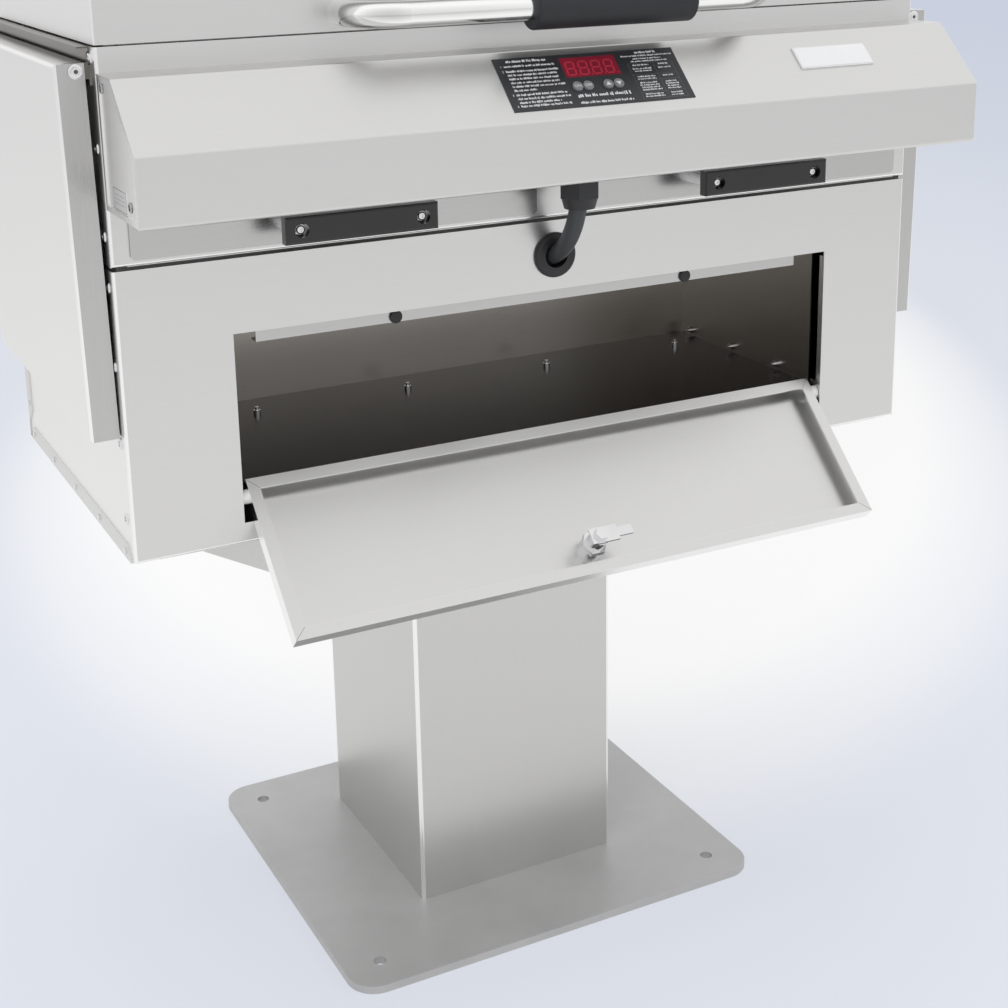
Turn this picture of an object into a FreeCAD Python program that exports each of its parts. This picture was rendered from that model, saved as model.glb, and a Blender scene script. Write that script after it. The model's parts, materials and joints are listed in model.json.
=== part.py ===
"""Pedestal electric grill: cabinet with a drop-down door, grill head, console, lid, trays and side shelves."""
import FreeCAD
import Part
import Sketcher
import math
import os
import re

os.makedirs("parts", exist_ok=True)
doc = FreeCAD.newDocument("ElectricGrill")
Vector = FreeCAD.Vector
Rotation = FreeCAD.Rotation
Placement = FreeCAD.Placement

# Driving sizes in millimetres and degrees. Radii are named radius, everything else is a length.
SIZES = {
    "cabinet_width": 813.0,
    "cabinet_depth": 401.0,
    "cabinet_height": 253.0,
    "head_height": 176.5,
    "lid_height": 196.0,
    "lid_gap": 1.5,
    "sheet": 1.5,
    "bend_radius": 3.0,
    "seat_gap": 0.3,
    "running_gap": 0.05,
    # pedestal
    "pedestal_height": 478.5,
    "column_width": 225.0,
    "column_depth": 236.0,
    "column_wall": 2.0,
    "column_corner_radius": 4.0,
    "column_setback": 92.5,
    "column_offset": 17.5,
    "base_width": 460.0,
    "base_depth": 420.0,
    "base_thickness": 8.0,
    "base_corner_radius": 30.0,
    "base_hole_radius": 6.5,
    "base_hole_inset": 38.0,
    "gusset_reach": 273.0,
    "gusset_drop": 151.0,
    "gusset_tip": 3.0,
    "gusset_thickness": 3.0,
    "gusset_inset": 4.2,
    "cable_port_radius": 28.0,
    "cable_port_setback": 50.0,
    # cabinet
    "front_lip": 4.0,
    "side_return": 30.0,
    "front_bottom_return": 20.0,
    "cabinet_return": 12.0,
    "rim_return": 20.0,
    "neck_inset": 5.0,
    "pan_corner": 9.0,
    "back_flange_corner": 13.0,
    "rail_length": 600.0,
    "rail_width": 24.0,
    "pan_flange_height": 13.0,
    "pan_front_setback": 8.0,
    "pan_rear_setback": 16.0,
    "back_flange_depth": 17.0,
    "back_flange_lift": 17.0,
    "opening_width": 617.0,
    "opening_low": 18.8,
    "opening_header": 64.8,
    "opening_return_depth": 5.5,
    "opening_return_drop": 5.0,
    "liner_setback": 20.0,
    "liner_depth": 237.4,
    "liner_floor_height": 46.8,
    "liner_floor_setback": 27.0,
    "liner_headroom": 11.8,
    "stud_radius": 2.2,
    "stud_height": 7.0,
    "stud_nut_radius": 3.6,
    "stud_nut_height": 3.8,
    "floor_stud_pitch": 163.4,
    "floor_stud_offset": 21.6,
    "floor_stud_setback": 208.0,
    "wall_stud_pitch": 81.0,
    "wall_stud_setback": 74.6,
    "wall_stud_lift": 6.0,
    # door stop and pads
    "bumper_edge_radius": 1.2,
    "lid_pad_width": 8.0,
    "lid_pad_setback": 181.0,
    "lid_pad_length": 32.0,
    "strip_width": 567.0,
    "strip_setback": 17.0,
    "strip_overhang": 14.2,
    "strip_lap": 8.3,
    "strip_return": 11.5,
    "bumper_radius": 6.0,
    "bumper_height": 2.6,
    "bumper_spread": 152.8,
    "bumper_drop": 9.2,
    # storage door
    "door_width": 603.0,
    "door_top_gap": 7.7,
    "door_thickness": 15.1,
    "door_lip": 10.7,
    "door_sheet": 1.5,
    "door_bend_radius": 2.5,
    "door_open_angle": 134.0,
    "pivot_setback": 8.0,
    "pivot_height": 39.5,
    "pivot_edge_offset": 13.6,
    "pivot_face_offset": 9.0,
    "pivot_pin_radius": 3.0,
    "pivot_pin_tail": 3.0,
    "pivot_pin_inside": 6.0,
    "lug_depth": 16.0,
    "lug_reach": 12.0,
    "bush_radius": 6.4,
    "bush_length": 6.4,
    # cam lock on the door
    "lock_offset": -3.5,
    "lock_inset": 28.6,
    "lock_radius": 9.0,
    "lock_length": 29.0,
    "lock_head_radius": 11.5,
    "lock_head_height": 2.5,
    "lock_nut_radius": 12.5,
    "lock_nut_height": 6.0,
    "lock_spindle_radius": 4.0,
    "lock_spacer_radius": 11.0,
    "lock_spacer_height": 8.5,
    "cam_gap": 0.8,
    "cam_reach": 33.0,
    "cam_tail": 10.0,
    "cam_width": 15.0,
    "cam_tip_width": 9.0,
    "cam_shoulder": 18.0,
    "cam_thickness": 2.2,
    "cam_screw_radius": 6.6,
    "cam_screw_height": 4.5,
    # side screws and rivets
    "side_screw_inset": 15.0,
    "side_screw_radius": 5.2,
    "side_screw_height": 1.5,
    "side_screw_shank_radius": 2.4,
    "side_screw_shank": 7.0,
    "cabinet_screw_low": 36.6,
    "cabinet_screw_top": 15.4,
    "head_screw_low": 24.0,
    "head_screw_top": 9.5,
    "screw_edge_radius": 1.1,
    "end_screw_radius": 4.2,
    "rivet_radius": 3.0,
    "rivet_height": 1.3,
    "rivet_lift": 5.5,
    "rivet_pitch": 89.5,
    "rivet_first": 23.0,
    "back_rivet_first": 37.0,
    "back_rivet_pitch": 92.0,
    # cord
    "cord_radius": 8.0,
    "gland_reach": 47.0,
    "gland_radius": 19.2,
    "gland_dome_radius": 16.6,
    "gland_tip_radius": 13.8,
    "gland_hex_length": 22.5,
    "gland_dome_length": 10.0,
    "gland_mouth_radius": 11.2,
    "gland_mouth_depth": 20.0,
    "gland_thread_radius": 11.5,
    "gland_thread_length": 12.0,
    "gland_nut_height": 5.0,
    "grommet_radius": 21.0,
    "grommet_bore_radius": 11.5,
    "grommet_neck_radius": 17.0,
    "grommet_front": 4.6,
    "grommet_rear": 5.0,
    "grommet_round": 3.4,
    "grommet_drop": 32.2,
    "gland_nut_radius": 16.0,
    "cord_slant_length": 8.0,
    "cord_return_radius": 80.0,
    "junction_setback": 90.0,
    "junction_width": 90.0,
    "junction_depth": 62.0,
    "junction_height": 44.0,
    # grill head
    "tub_side_gap": 22.0,
    "tub_front_gap": 28.0,
    "tub_low": 84.0,
    "grate_ledge": 12.0,
    "grate_ledge_drop": 33.0,
    "funnel_height": 34.0,
    "funnel_slot": 24.0,
    "funnel_sheet": 1.2,
    "element_radius": 4.0,
    "element_height": 116.0,
    "element_run": 680.0,
    "element_pitch": 44.0,
    "element_front_gap": 66.0,
    "element_terminal": 8.0,
    "support_spread": 200.0,
    "support_width": 3.0,
    "grate_bar_radius": 3.0,
    "grate_frame_radius": 4.0,
    "grate_pitch": 16.6,
    "grate_end_gap": 2.5,
    "grate_weld": 0.6,
    "rim_inset": 10.0,
    "funnel_width": 300.0,
    "funnel_depth": 200.0,
    "funnel_slot_width": 200.0,
    "support_foot": 16.0,
    # grease trays
    "runner_length": 360.0,
    "tray_front_corner": 3.0,
    "tray_pitch": 409.0,
    "tray_front_width": 371.5,
    "tray_front_low": 5.0,
    "tray_front_high": 44.0,
    "tray_front_thickness": 2.0,
    "tray_front_gap": 0.4,
    "tray_pan_width": 342.0,
    "tray_pan_depth": 360.0,
    "tray_pan_height": 29.0,
    "tray_pan_lift": 11.0,
    "tray_pan_sheet": 1.2,
    "tray_slot_margin": 3.0,
    "runner_width": 10.0,
    "runner_lip": 12.0,
    "runner_front_gap": 12.0,
    "handle_width": 137.0,
    "handle_height": 23.3,
    "handle_thickness": 15.0,
    "handle_reach": 45.0,
    "handle_low": 11.7,
    "handle_corner_radius": 2.5,
    "handle_screw_spread": 54.5,
    "handle_screw_radius": 4.0,
    "handle_bore_radius": 6.2,
    "handle_bore_depth": 8.0,
    "handle_screw_head": 3.0,
    "handle_end_radius": 5.0,
    "standoff_radius": 6.0,
    # console
    "console_top_drop": 20.3,
    "console_ledge": 41.8,
    "console_reach": 97.0,
    "console_crease_drop": 73.2,
    "console_bottom_drop": 129.5,
    "console_bend_radius": 3.0,
    "console_rim": 4.5,
    "console_return": 15.0,
    "console_return_stop": 14.0,
    "console_end_depth": 6.0,
    "console_recess": 1.5,
    "module_foot_width": 20.0,
    "module_depth": 36.0,
    "module_width": 44.0,
    "module_height": 30.0,
    "module_lift": 28.0,
    # control panel, measured down the slope from the ledge
    "overlay_offset": 4.0,
    "overlay_width": 178.0,
    "overlay_start": 8.0,
    "overlay_length": 57.4,
    "overlay_thickness": 0.6,
    "window_offset": 4.6,
    "window_width": 54.2,
    "window_start": 11.8,
    "window_length": 21.7,
    "window_thickness": 0.5,
    "button_radius": 4.7,
    "button_height": 1.8,
    "button_stem_end": 6.5,
    "button_stem_radius": 1.6,
    "button_travel": 1.5,
    "button_flange": 1.0,
    "button_flange_reach": 0.4,
    "switch_size": 6.0,
    "button_start": 44.3,
    "button_pair_gap": 10.4,
    "button_row_gap": 19.7,
    "button_row_offset": -16.9,
    "button_gap": 0.1,
    "board_start": 10.0,
    "board_width": 170.0,
    "board_length": 52.0,
    "board_thickness": 1.6,
    "board_depth": 9.6,
    "board_post_radius": 3.0,
    "badge_offset": 259.2,
    "badge_width": 82.0,
    "badge_start": 19.6,
    "badge_length": 25.0,
    "badge_thickness": 1.2,
    "rating_width": 38.0,
    "rating_height": 18.0,
    "rating_reach": 61.0,
    "rating_lift": 0.5,
    "rating_thickness": 0.5,
    "end_screw_rear_reach": 10.4,
    "end_screw_rear_drop": 10.4,
    "end_screw_front_reach": 72.0,
    "end_screw_front_lift": 14.5,
    # lid
    "lid_front_radius": 62.0,
    "lid_rear_radius": 30.0,
    "bar_radius": 11.0,
    "bar_spread": 392.0,
    "bar_shift": -5.2,
    "bar_reach": 60.0,
    "bar_lift": 15.5,
    "bar_bend_radius": 34.0,
    "grip_radius": 19.0,
    "grip_length": 156.5,
    "grip_offset": 24.8,
    "grip_edge_radius": 2.0,
    "hinge_spread": 300.0,
    "hinge_knuckle_radius": 5.0,
    "hinge_pin_radius": 2.5,
    "hinge_leaf": 2.0,
    "hinge_leaf_height": 26.0,
    "hinge_setback": 7.3,
    "hinge_outer_knuckle": 14.0,
    "hinge_middle_knuckle": 18.0,
    "hinge_end_gap": 0.3,
    # side shelves
    "shelf_setback": 12.5,
    "shelf_rear_gap": 1.0,
    "shelf_length": 311.0,
    "shelf_thickness": 24.3,
    "shelf_bend_radius": 3.0,
    "shelf_pivot_out": 12.6,
    "shelf_pivot_drop": 19.0,
    "shelf_face_out": 17.2,
    "shelf_pivot_rise": 6.4,
    "shelf_hang_angle": 0.85,
    "bracket_low": 11.5,
    "bracket_flange": 10.4,
    "bracket_ear_gap": 0.3,
    "bracket_ear_radius": 6.5,
    "bracket_screw_lift": 1.0,
    "shelf_notch": 5.0,
    "shelf_notch_reach": 9.0,
    "shelf_pin_radius": 3.0,
    "shelf_pin_head_radius": 6.0,
    "shelf_pin_head": 0.9,
    "shelf_pin_tail": 2.5,
    "bracket_screw_front": 103.0,
    "bracket_screw_pitch": 202.0,
    "bracket_screw_radius": 3.6,
    "bracket_screw_height": 1.3,
}

# Planes and lines that the pieces share, worked out from the driving sizes.
PLACES = {
    "past": "1",
    "left": "-cabinet_width / 2",
    "right": "cabinet_width / 2",
    "front": "column_offset - column_setback - column_depth / 2",
    "rear": "front + cabinet_depth",
    "outer_rear": "rear + sheet",
    "cabinet_low": "pedestal_height + sheet",
    "cabinet_high": "cabinet_low + cabinet_height",
    "head_low": "cabinet_high + 2 * sheet",
    "head_high": "head_low + head_height",
    "lid_low": "head_high + lid_gap",
    "lid_high": "lid_low + lid_height",
    "opening_high": "cabinet_height - opening_header",
    "strip_low": "opening_high - strip_overhang",
    "strip_high": "opening_high + strip_lap",
    "bumper_lift": "opening_high - bumper_drop",
    "liner_ceiling_height": "opening_high + liner_headroom",
    "door_height": "opening_high - door_top_gap - pivot_height + pivot_edge_offset",
    "lock_height": "door_height - lock_inset",
    "cabinet_screw_pitch": "(cabinet_height - cabinet_screw_low - cabinet_screw_top) / 3",
    "head_screw_pitch": "(head_height - head_screw_low - head_screw_top) / 2",
    "grommet_height": "cabinet_height - grommet_drop",
    "sill": "cabinet_low + opening_low",
    "lintel": "cabinet_low + opening_high",
    "liner_floor": "cabinet_low + liner_floor_height",
    "liner_ceiling": "cabinet_low + liner_ceiling_height",
    "liner_front": "front + liner_setback",
    "liner_back": "liner_front + liner_depth",
    "strip_front": "front + strip_setback",
    "pivot_y": "front + pivot_setback",
    "pivot_z": "cabinet_low + pivot_height",
    "grommet_z": "cabinet_low + grommet_height",
    "gland_y": "front - gland_reach",
    "console_top": "head_high - console_top_drop",
    "console_crease": "head_high - console_crease_drop",
    "console_bottom": "head_high - console_bottom_drop",
    "console_front": "front - console_reach",
    "ledge_front": "front - console_ledge",
    "console_plate": "console_bottom + sheet",
    "gland_face": "console_plate",
    "gland_shoulder": "gland_face - gland_hex_length",
    "gland_tip": "gland_shoulder - gland_dome_length",
    "cord_bend_z": "gland_tip + gland_mouth_depth",
    "cord_drop": "cord_bend_z - grommet_z",
    "cord_bend_size": "(gland_reach * gland_reach + cord_drop * cord_drop) / (2 * gland_reach)",
    "cord_turn": "acos(1 - gland_reach / cord_bend_size)",
    "cord_return_y": "front + cord_slant_length * sin(cord_turn) + cord_return_radius * cos(cord_turn)",
    "cord_return_z": "grommet_z - cord_slant_length * cos(cord_turn) + cord_return_radius * sin(cord_turn)",
    "junction_front": "front + junction_setback",
    "power_module_z": "console_plate + module_lift",
    "console_slope": "atan((console_top - console_crease) / (ledge_front - console_front))",
    "tub_left": "left + tub_side_gap",
    "tub_right": "right - tub_side_gap",
    "tub_front": "front + tub_front_gap",
    "tub_rear": "rear - tub_side_gap",
    "tub_bottom": "head_low + tub_low",
    "ledge_top": "head_high - grate_ledge_drop",
    "funnel_bottom": "tub_bottom - funnel_height",
    "element_z": "head_low + element_height",
    "grate_frame_z": "ledge_top + grate_frame_radius",
    "grate_bar_z": "grate_frame_z + grate_frame_radius + grate_bar_radius - grate_weld",
    "tray_face": "front - tray_front_gap",
    "tray_low": "head_low + tray_pan_lift",
    "hinge_y": "outer_rear + hinge_setback",
    "hinge_z": "head_high + lid_gap / 2",
    "shelf_z": "head_high - shelf_pivot_drop",
    "shelf_front": "front + shelf_setback",
    "shelf_rear": "outer_rear - back_flange_depth - shelf_rear_gap",
}

WORD = re.compile(r"[a-z][a-z_0-9]*")


def bound(text):
    """Give an expression that reads its sizes and places from the two sheets."""
    def swap(found):
        word = found.group()
        if word in SIZES:
            return "Sizes." + word
        if word in PLACES:
            return "Places." + word
        return word
    return WORD.sub(swap, str(text))


def fill_sheet(name, cells, as_formula):
    """Write one named cell for each entry and return the sheet."""
    sheet = doc.addObject("Spreadsheet::Sheet", name)
    for row, (alias, content) in enumerate(cells.items(), start=1):
        sheet.set("A%d" % row, alias)
        sheet.set("B%d" % row, "=" + bound(content) if as_formula else str(content))
        sheet.setAlias("B%d" % row, alias)
    return sheet


size_sheet = fill_sheet("Sizes", SIZES, as_formula=False)
place_sheet = fill_sheet("Places", PLACES, as_formula=True)
doc.recompute()


def size(alias):
    """Read a driving size as a plain number."""
    return float(size_sheet.get(alias))


def place(alias):
    """Read a shared place as a plain number."""
    return float(place_sheet.get(alias))


AXES = ("x", "y", "z")
ALONG = {
    "x": Rotation(Vector(0, 1, 0), 90),
    "y": Rotation(Vector(1, 0, 0), -90),
    "z": Rotation(),
}
TOUCH = 0.01


def seat(obj, x, y, z):
    """Bind an object's position."""
    for axis, text in zip(AXES, (x, y, z)):
        obj.setExpression("Placement.Base." + axis, bound(text))
    return obj


def block(name, x, y, z):
    """A box between two planes on each axis."""
    obj = doc.addObject("Part::Box", name)
    for prop, (low, high) in zip(("Length", "Width", "Height"), (x, y, z)):
        obj.setExpression(prop, bound("(%s) - (%s)" % (high, low)))
    return seat(obj, x[0], y[0], z[0])


def split_span(x, y, z):
    """Find the axis that holds a span, and give the low corner and the length."""
    spots = [x, y, z]
    index = [isinstance(spot, tuple) for spot in spots].index(True)
    low, high = spots[index]
    spots[index] = low
    return AXES[index], spots, "(%s) - (%s)" % (high, low)


def rod(name, radius, x, y, z):
    """A round bar along the axis that is given as a span."""
    axis, spots, length = split_span(x, y, z)
    obj = doc.addObject("Part::Cylinder", name)
    obj.Placement = Placement(Vector(), ALONG[axis])
    obj.setExpression("Radius", bound(radius))
    obj.setExpression("Height", bound(length))
    return seat(obj, *spots)


def taper(name, radius_low, radius_high, x, y, z):
    """A cone frustum along the axis that is given as a span."""
    axis, spots, length = split_span(x, y, z)
    obj = doc.addObject("Part::Cone", name)
    obj.Placement = Placement(Vector(), ALONG[axis])
    obj.setExpression("Radius1", bound(radius_low))
    obj.setExpression("Radius2", bound(radius_high))
    obj.setExpression("Height", bound(length))
    return seat(obj, *spots)


def hexagon(name, radius, x, y, z):
    """A hexagonal bar along the axis that is given as a span."""
    axis, spots, length = split_span(x, y, z)
    obj = doc.addObject("Part::Prism", name)
    obj.Placement = Placement(Vector(), ALONG[axis])
    obj.Polygon = 6
    obj.setExpression("Circumradius", bound(radius))
    obj.setExpression("Height", bound(length))
    return seat(obj, *spots)


def join(name, pieces):
    """One solid from pieces that meet."""
    obj = doc.addObject("Part::MultiFuse", name)
    obj.Shapes = pieces
    obj.Refine = True
    return obj


def group(name, pieces):
    """Several separate solids under one name."""
    obj = doc.addObject("Part::Compound", name)
    obj.Links = pieces
    return obj


def cut(name, base, tools):
    """Take the tools out of the base."""
    obj = doc.addObject("Part::Cut", name)
    obj.Base = base
    obj.Tool = tools[0] if len(tools) == 1 else join(name + "_tools", tools)
    obj.Refine = True
    return obj


def kept(name, base, x, y, z):
    """The part of the base that lies within bounds."""
    obj = doc.addObject("Part::MultiCommon", name)
    obj.Shapes = [base, block(name + "_bounds", x, y, z)]
    obj.Refine = True
    return obj


def straight_edges(base, along, **where):
    """Number the straight edges along an axis that lie at the low or high side, or at a given value."""
    doc.recompute()
    box = base.Shape.BoundBox
    limits = {
        "x": (box.XMin, box.XMax),
        "y": (box.YMin, box.YMax),
        "z": (box.ZMin, box.ZMax),
    }
    found = []
    for number, edge in enumerate(base.Shape.Edges, start=1):
        if edge.Curve.TypeId != "Part::GeomLine":
            continue
        first, last = edge.Vertexes[0].Point, edge.Vertexes[-1].Point
        direction = last - first
        if abs(abs(getattr(direction, along)) - direction.Length) > TOUCH:
            continue
        middle = (first + last) * 0.5
        matches = True
        for axis, wanted in where.items():
            if wanted == "low":
                target = limits[axis][0]
            elif wanted == "high":
                target = limits[axis][1]
            else:
                target = wanted
            matches = matches and abs(getattr(middle, axis) - target) < TOUCH
        if matches:
            found.append(number)
    return found


def rounded(name, base, radius, numbers):
    """Round the numbered edges."""
    obj = doc.addObject("Part::Fillet", name)
    obj.Base = base
    obj.Edges = [(number, radius, radius) for number in sorted(set(numbers))]
    return obj


def bevelled(name, base, setback, numbers):
    """Chamfer the numbered edges."""
    obj = doc.addObject("Part::Chamfer", name)
    obj.Base = base
    obj.Edges = [(number, setback, setback) for number in sorted(set(numbers))]
    return obj


def ring_edges(base, axis, level):
    """Number the round edges that lie at one level of an axis."""
    doc.recompute()
    found = []
    for number, edge in enumerate(base.Shape.Edges, start=1):
        if edge.Curve.TypeId != "Part::GeomCircle":
            continue
        if abs(getattr(edge.Curve.Center, axis) - level) < TOUCH:
            found.append(number)
    return found


PLANES = {
    "x": Rotation(Vector(0, 1, 0), Vector(0, 0, 1), Vector(1, 0, 0), "ZXY"),
    "y": Rotation(Vector(1, 0, 0), 90),
    "z": Rotation(),
}


def outline(name, normal, points):
    """A closed sketch whose corners are bound to sizes. Normal x reads y, z; y reads x, z; z reads x, y."""
    sketch = doc.addObject("Sketcher::SketchObject", name)
    sketch.Placement = Placement(Vector(), PLANES[normal])
    count = len(points)
    guess = [Vector(math.cos(2 * math.pi * i / count), math.sin(2 * math.pi * i / count), 0) for i in range(count)]
    for index in range(count):
        sketch.addGeometry(Part.LineSegment(guess[index], guess[(index + 1) % count]), False)
    for index in range(count):
        sketch.addConstraint(Sketcher.Constraint("Coincident", index, 2, (index + 1) % count, 1))
    for index, (across, up) in enumerate(points):
        for kind, text in (("DistanceX", across), ("DistanceY", up)):
            number = sketch.addConstraint(Sketcher.Constraint(kind, index, 1, 1.0))
            sketch.setExpression("Constraints[%d]" % number, bound(text))
    return sketch


def prism(name, sketch, length, start=None, normal="x"):
    """Carry a closed sketch along its normal."""
    obj = doc.addObject("Part::Extrusion", name)
    obj.Base = sketch
    obj.DirMode = "Custom"
    obj.Dir = {"x": Vector(1, 0, 0), "y": Vector(0, 1, 0), "z": Vector(0, 0, 1)}[normal]
    obj.setExpression("LengthFwd", bound(length))
    obj.Solid = True
    if start is not None:
        obj.setExpression("Placement.Base." + normal, bound(start))
    return obj


def inset(name, sketch, distance):
    """The sketch drawn smaller by a distance."""
    obj = doc.addObject("Part::Offset2D", name)
    obj.Source = sketch
    obj.setExpression("Value", bound("-(%s)" % distance))
    obj.Join = 2
    return obj


def mirrored(name, source):
    """The same piece on the other side of the middle plane."""
    obj = doc.addObject("Part::Mirroring", name)
    obj.Source = source
    obj.Normal = Vector(1, 0, 0)
    obj.Base = Vector()
    return obj


def turned(obj, axis, angle, x="0", y="0", z="0"):
    """Swing a finished shape about an axis through its own origin, then carry it to its place."""
    obj.Placement = Placement(Vector(), Rotation(axis, 30))
    obj.setExpression("Placement.Rotation.Angle", bound(angle))
    return seat(obj, x, y, z)


X_AXIS = Vector(1, 0, 0)
Y_AXIS = Vector(0, 1, 0)

# Pedestal: floor plate, column and the four wings that carry the cabinet.
slab = block("slab", ("-base_width / 2", "base_width / 2"), ("-base_depth / 2", "base_depth / 2"),
             ("0", "base_thickness"))
slab_rounded = rounded("slab_rounded", slab, size("base_corner_radius"), straight_edges(slab, "z"))
anchor_holes = [
    rod("anchor_hole_%d" % index, "base_hole_radius", x, y, ("-1", "base_thickness + past"))
    for index, (x, y) in enumerate([
        ("-base_width / 2 + base_hole_inset", "-base_depth / 2 + base_hole_inset"),
        ("base_width / 2 - base_hole_inset", "-base_depth / 2 + base_hole_inset"),
        ("-base_width / 2 + base_hole_inset", "base_depth / 2 - base_hole_inset"),
        ("base_width / 2 - base_hole_inset", "base_depth / 2 - base_hole_inset")])
]
base_plate = cut("base_plate", slab_rounded, anchor_holes)

column_block = block("column_block", ("-column_width / 2", "column_width / 2"),
                     ("column_offset - column_depth / 2", "column_offset + column_depth / 2"),
                     ("base_thickness", "pedestal_height"))
column_outer = rounded("column_outer", column_block, size("column_corner_radius"),
                       straight_edges(column_block, "z"))
COLUMN_X = ("-column_width / 2", "column_width / 2")
COLUMN_Z = ("base_thickness", "pedestal_height")
column_front = kept("column_front", column_outer, COLUMN_X,
                    ("column_offset - column_depth / 2", "column_offset - column_depth / 2 + column_wall"), COLUMN_Z)
column_rear = kept("column_rear", column_outer, COLUMN_X,
                   ("column_offset + column_depth / 2 - column_wall", "column_offset + column_depth / 2"), COLUMN_Z)
column_left = kept("column_left", column_outer, ("-column_width / 2", "-column_width / 2 + column_wall"),
                   ("column_offset - column_depth / 2 + column_wall",
                    "column_offset + column_depth / 2 - column_wall"), COLUMN_Z)
pedestal_column = group("pedestal_column", [
    column_front, column_rear, column_left, mirrored("column_right", column_left)])

wing_outline = outline("wing_outline", "y", [
    ("-column_width / 2", "pedestal_height"),
    ("-column_width / 2 - gusset_reach", "pedestal_height"),
    ("-column_width / 2 - gusset_reach", "pedestal_height - gusset_tip"),
    ("-column_width / 2", "pedestal_height - gusset_drop"),
])
wing_front = prism("wing_front", wing_outline, "gusset_thickness",
                   "column_offset - column_depth / 2 + gusset_inset", "y")
wing_rear = prism("wing_rear", wing_outline, "gusset_thickness",
                  "column_offset + column_depth / 2 - gusset_inset - gusset_thickness", "y")
column_gussets = group("column_gussets", [
    wing_front, wing_rear, mirrored("wing_front_right", wing_front), mirrored("wing_rear_right", wing_rear)])

# Floor pan of the cabinet, with side flanges outside the panels and a port for the supply cable.
pan_floor = block("pan_floor", ("left - sheet", "right + sheet"), ("front + pan_front_setback", "rear"),
                  ("pedestal_height", "cabinet_low"))
pan_flange = block("pan_flange", ("left - sheet", "left"),
                   ("front + pan_front_setback", "rear - pan_rear_setback"),
                   ("pedestal_height", "cabinet_low + pan_flange_height"))
pan_flange_left = bevelled("pan_flange_left", pan_flange, size("pan_corner"),
                           straight_edges(pan_flange, "x", y="low", z="high"))
pan_shape = join("pan_shape", [pan_floor, pan_flange_left, mirrored("pan_flange_right", pan_flange_left)])
cable_port = rod("cable_port", "cable_port_radius", "0", "-cable_port_setback",
                 ("pedestal_height - past", "cabinet_low + past"))
cabinet_floor_pan = cut("cabinet_floor_pan", pan_shape, [cable_port])


def front_wall(name, low, high, top_return, low_return):
    """A front sheet with bent edges, side returns that lie inside the side panels, and a top and bottom return."""
    face = block(name + "_face", ("left", "right"), ("front", "front + front_lip"), (low, high))
    picks = straight_edges(face, "z", y="low") + straight_edges(face, "x", y="low", z="low")
    face = rounded(name + "_bends", face, size("bend_radius"), picks)
    hollow = block(name + "_hollow", ("left + sheet", "right - sheet"),
                   ("front + sheet", "front + front_lip + past"), (low + " + sheet", high + " - sheet"))
    shell = cut(name + "_shell", face, [hollow])
    side = block(name + "_side_return", ("left + sheet", "left + 2 * sheet"),
                 ("front + sheet", "front + side_return"), (low + " + sheet", high + " - 2 * sheet"))
    top = block(name + "_top_return", ("left + %s + sheet" % top_return, "right - %s - sheet" % top_return),
                ("front + sheet", "front + " + top_return), (high + " - sheet", high))
    bottom = block(name + "_bottom_return",
                   ("left + %s + sheet" % low_return, "right - %s - sheet" % low_return),
                   ("front + sheet", "front + " + low_return), (low, low + " + sheet"))
    return join(name + "_wall", [shell, side, mirrored(name + "_side_return_right", side), top, bottom])


def side_wall(name, low, high, top_return, low_return):
    """A left side sheet with inward top and bottom returns."""
    body = block(name + "_body", ("left", "left + " + top_return), ("front + front_lip", "rear"), (low, high))
    start = low + " + sheet" if low_return else low + " - past"
    tools = [block(name + "_hollow", ("left + sheet", "left + %s + past" % top_return),
                   ("front + front_lip - past", "rear + past"), (start, high + " - sheet"))]
    if low_return:
        tools.append(block(name + "_trim", ("left + " + low_return, "left + %s + past" % top_return),
                           ("front + front_lip - past", "rear + past"), (low + " - past", low + " + 2 * sheet")))
    return cut(name, body, tools)


def screw_rows(name, radius, rows):
    """Round bars across the left panel at each screw row."""
    return [
        rod("%s_%d" % (name, index), radius, ("left - past", "left + 2 * sheet + past"), "front + side_screw_inset", z)
        for index, z in enumerate(rows)
    ]


CABINET_ROWS = ["cabinet_low + cabinet_screw_low + %d * cabinet_screw_pitch" % row for row in range(4)]
HEAD_ROWS = ["head_low + head_screw_low + %d * head_screw_pitch" % row for row in range(3)]

# Cabinet front panel with the storage opening, hinge lugs and the cord hole.
front_shape = front_wall("cabinet_front", "cabinet_low", "cabinet_high", "cabinet_return", "front_bottom_return")
opening = block("opening", ("-opening_width / 2", "opening_width / 2"), ("front - past", "front + sheet + past"),
                ("sill", "lintel"))
cord_hole = rod("cord_hole", "grommet_neck_radius", "0", ("front - past", "front + sheet + past"), "grommet_z")
front_holes = screw_rows("cabinet_front_hole", "side_screw_shank_radius", CABINET_ROWS)
front_holes_right = [mirrored("cabinet_front_hole_right_%d" % i, hole) for i, hole in enumerate(front_holes)]
front_cut = cut("cabinet_front_cut", front_shape, [opening, cord_hole] + front_holes + front_holes_right)
lug = block("lug", ("-opening_width / 2 - sheet", "-opening_width / 2"), ("front + sheet", "front + lug_depth"),
            ("pivot_z - lug_reach", "pivot_z + lug_reach"))
lug_hole = rod("lug_hole", "pivot_pin_radius + running_gap",
               ("-opening_width / 2 - sheet - past", "-opening_width / 2 + past"), "pivot_y", "pivot_z")
lug_left = cut("lug_left", lug, [lug_hole])
opening_return = block("opening_return", ("-opening_width / 2 - sheet", "-opening_width / 2"),
                       ("front + sheet", "front + sheet + opening_return_depth"),
                       ("sill", "lintel - opening_return_drop"))
return_left = cut("return_left", opening_return, [lug_hole])
cabinet_front_panel = join("cabinet_front_panel", [
    front_cut, lug_left, return_left, mirrored("lug_right", lug_left), mirrored("return_right", return_left)])

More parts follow.
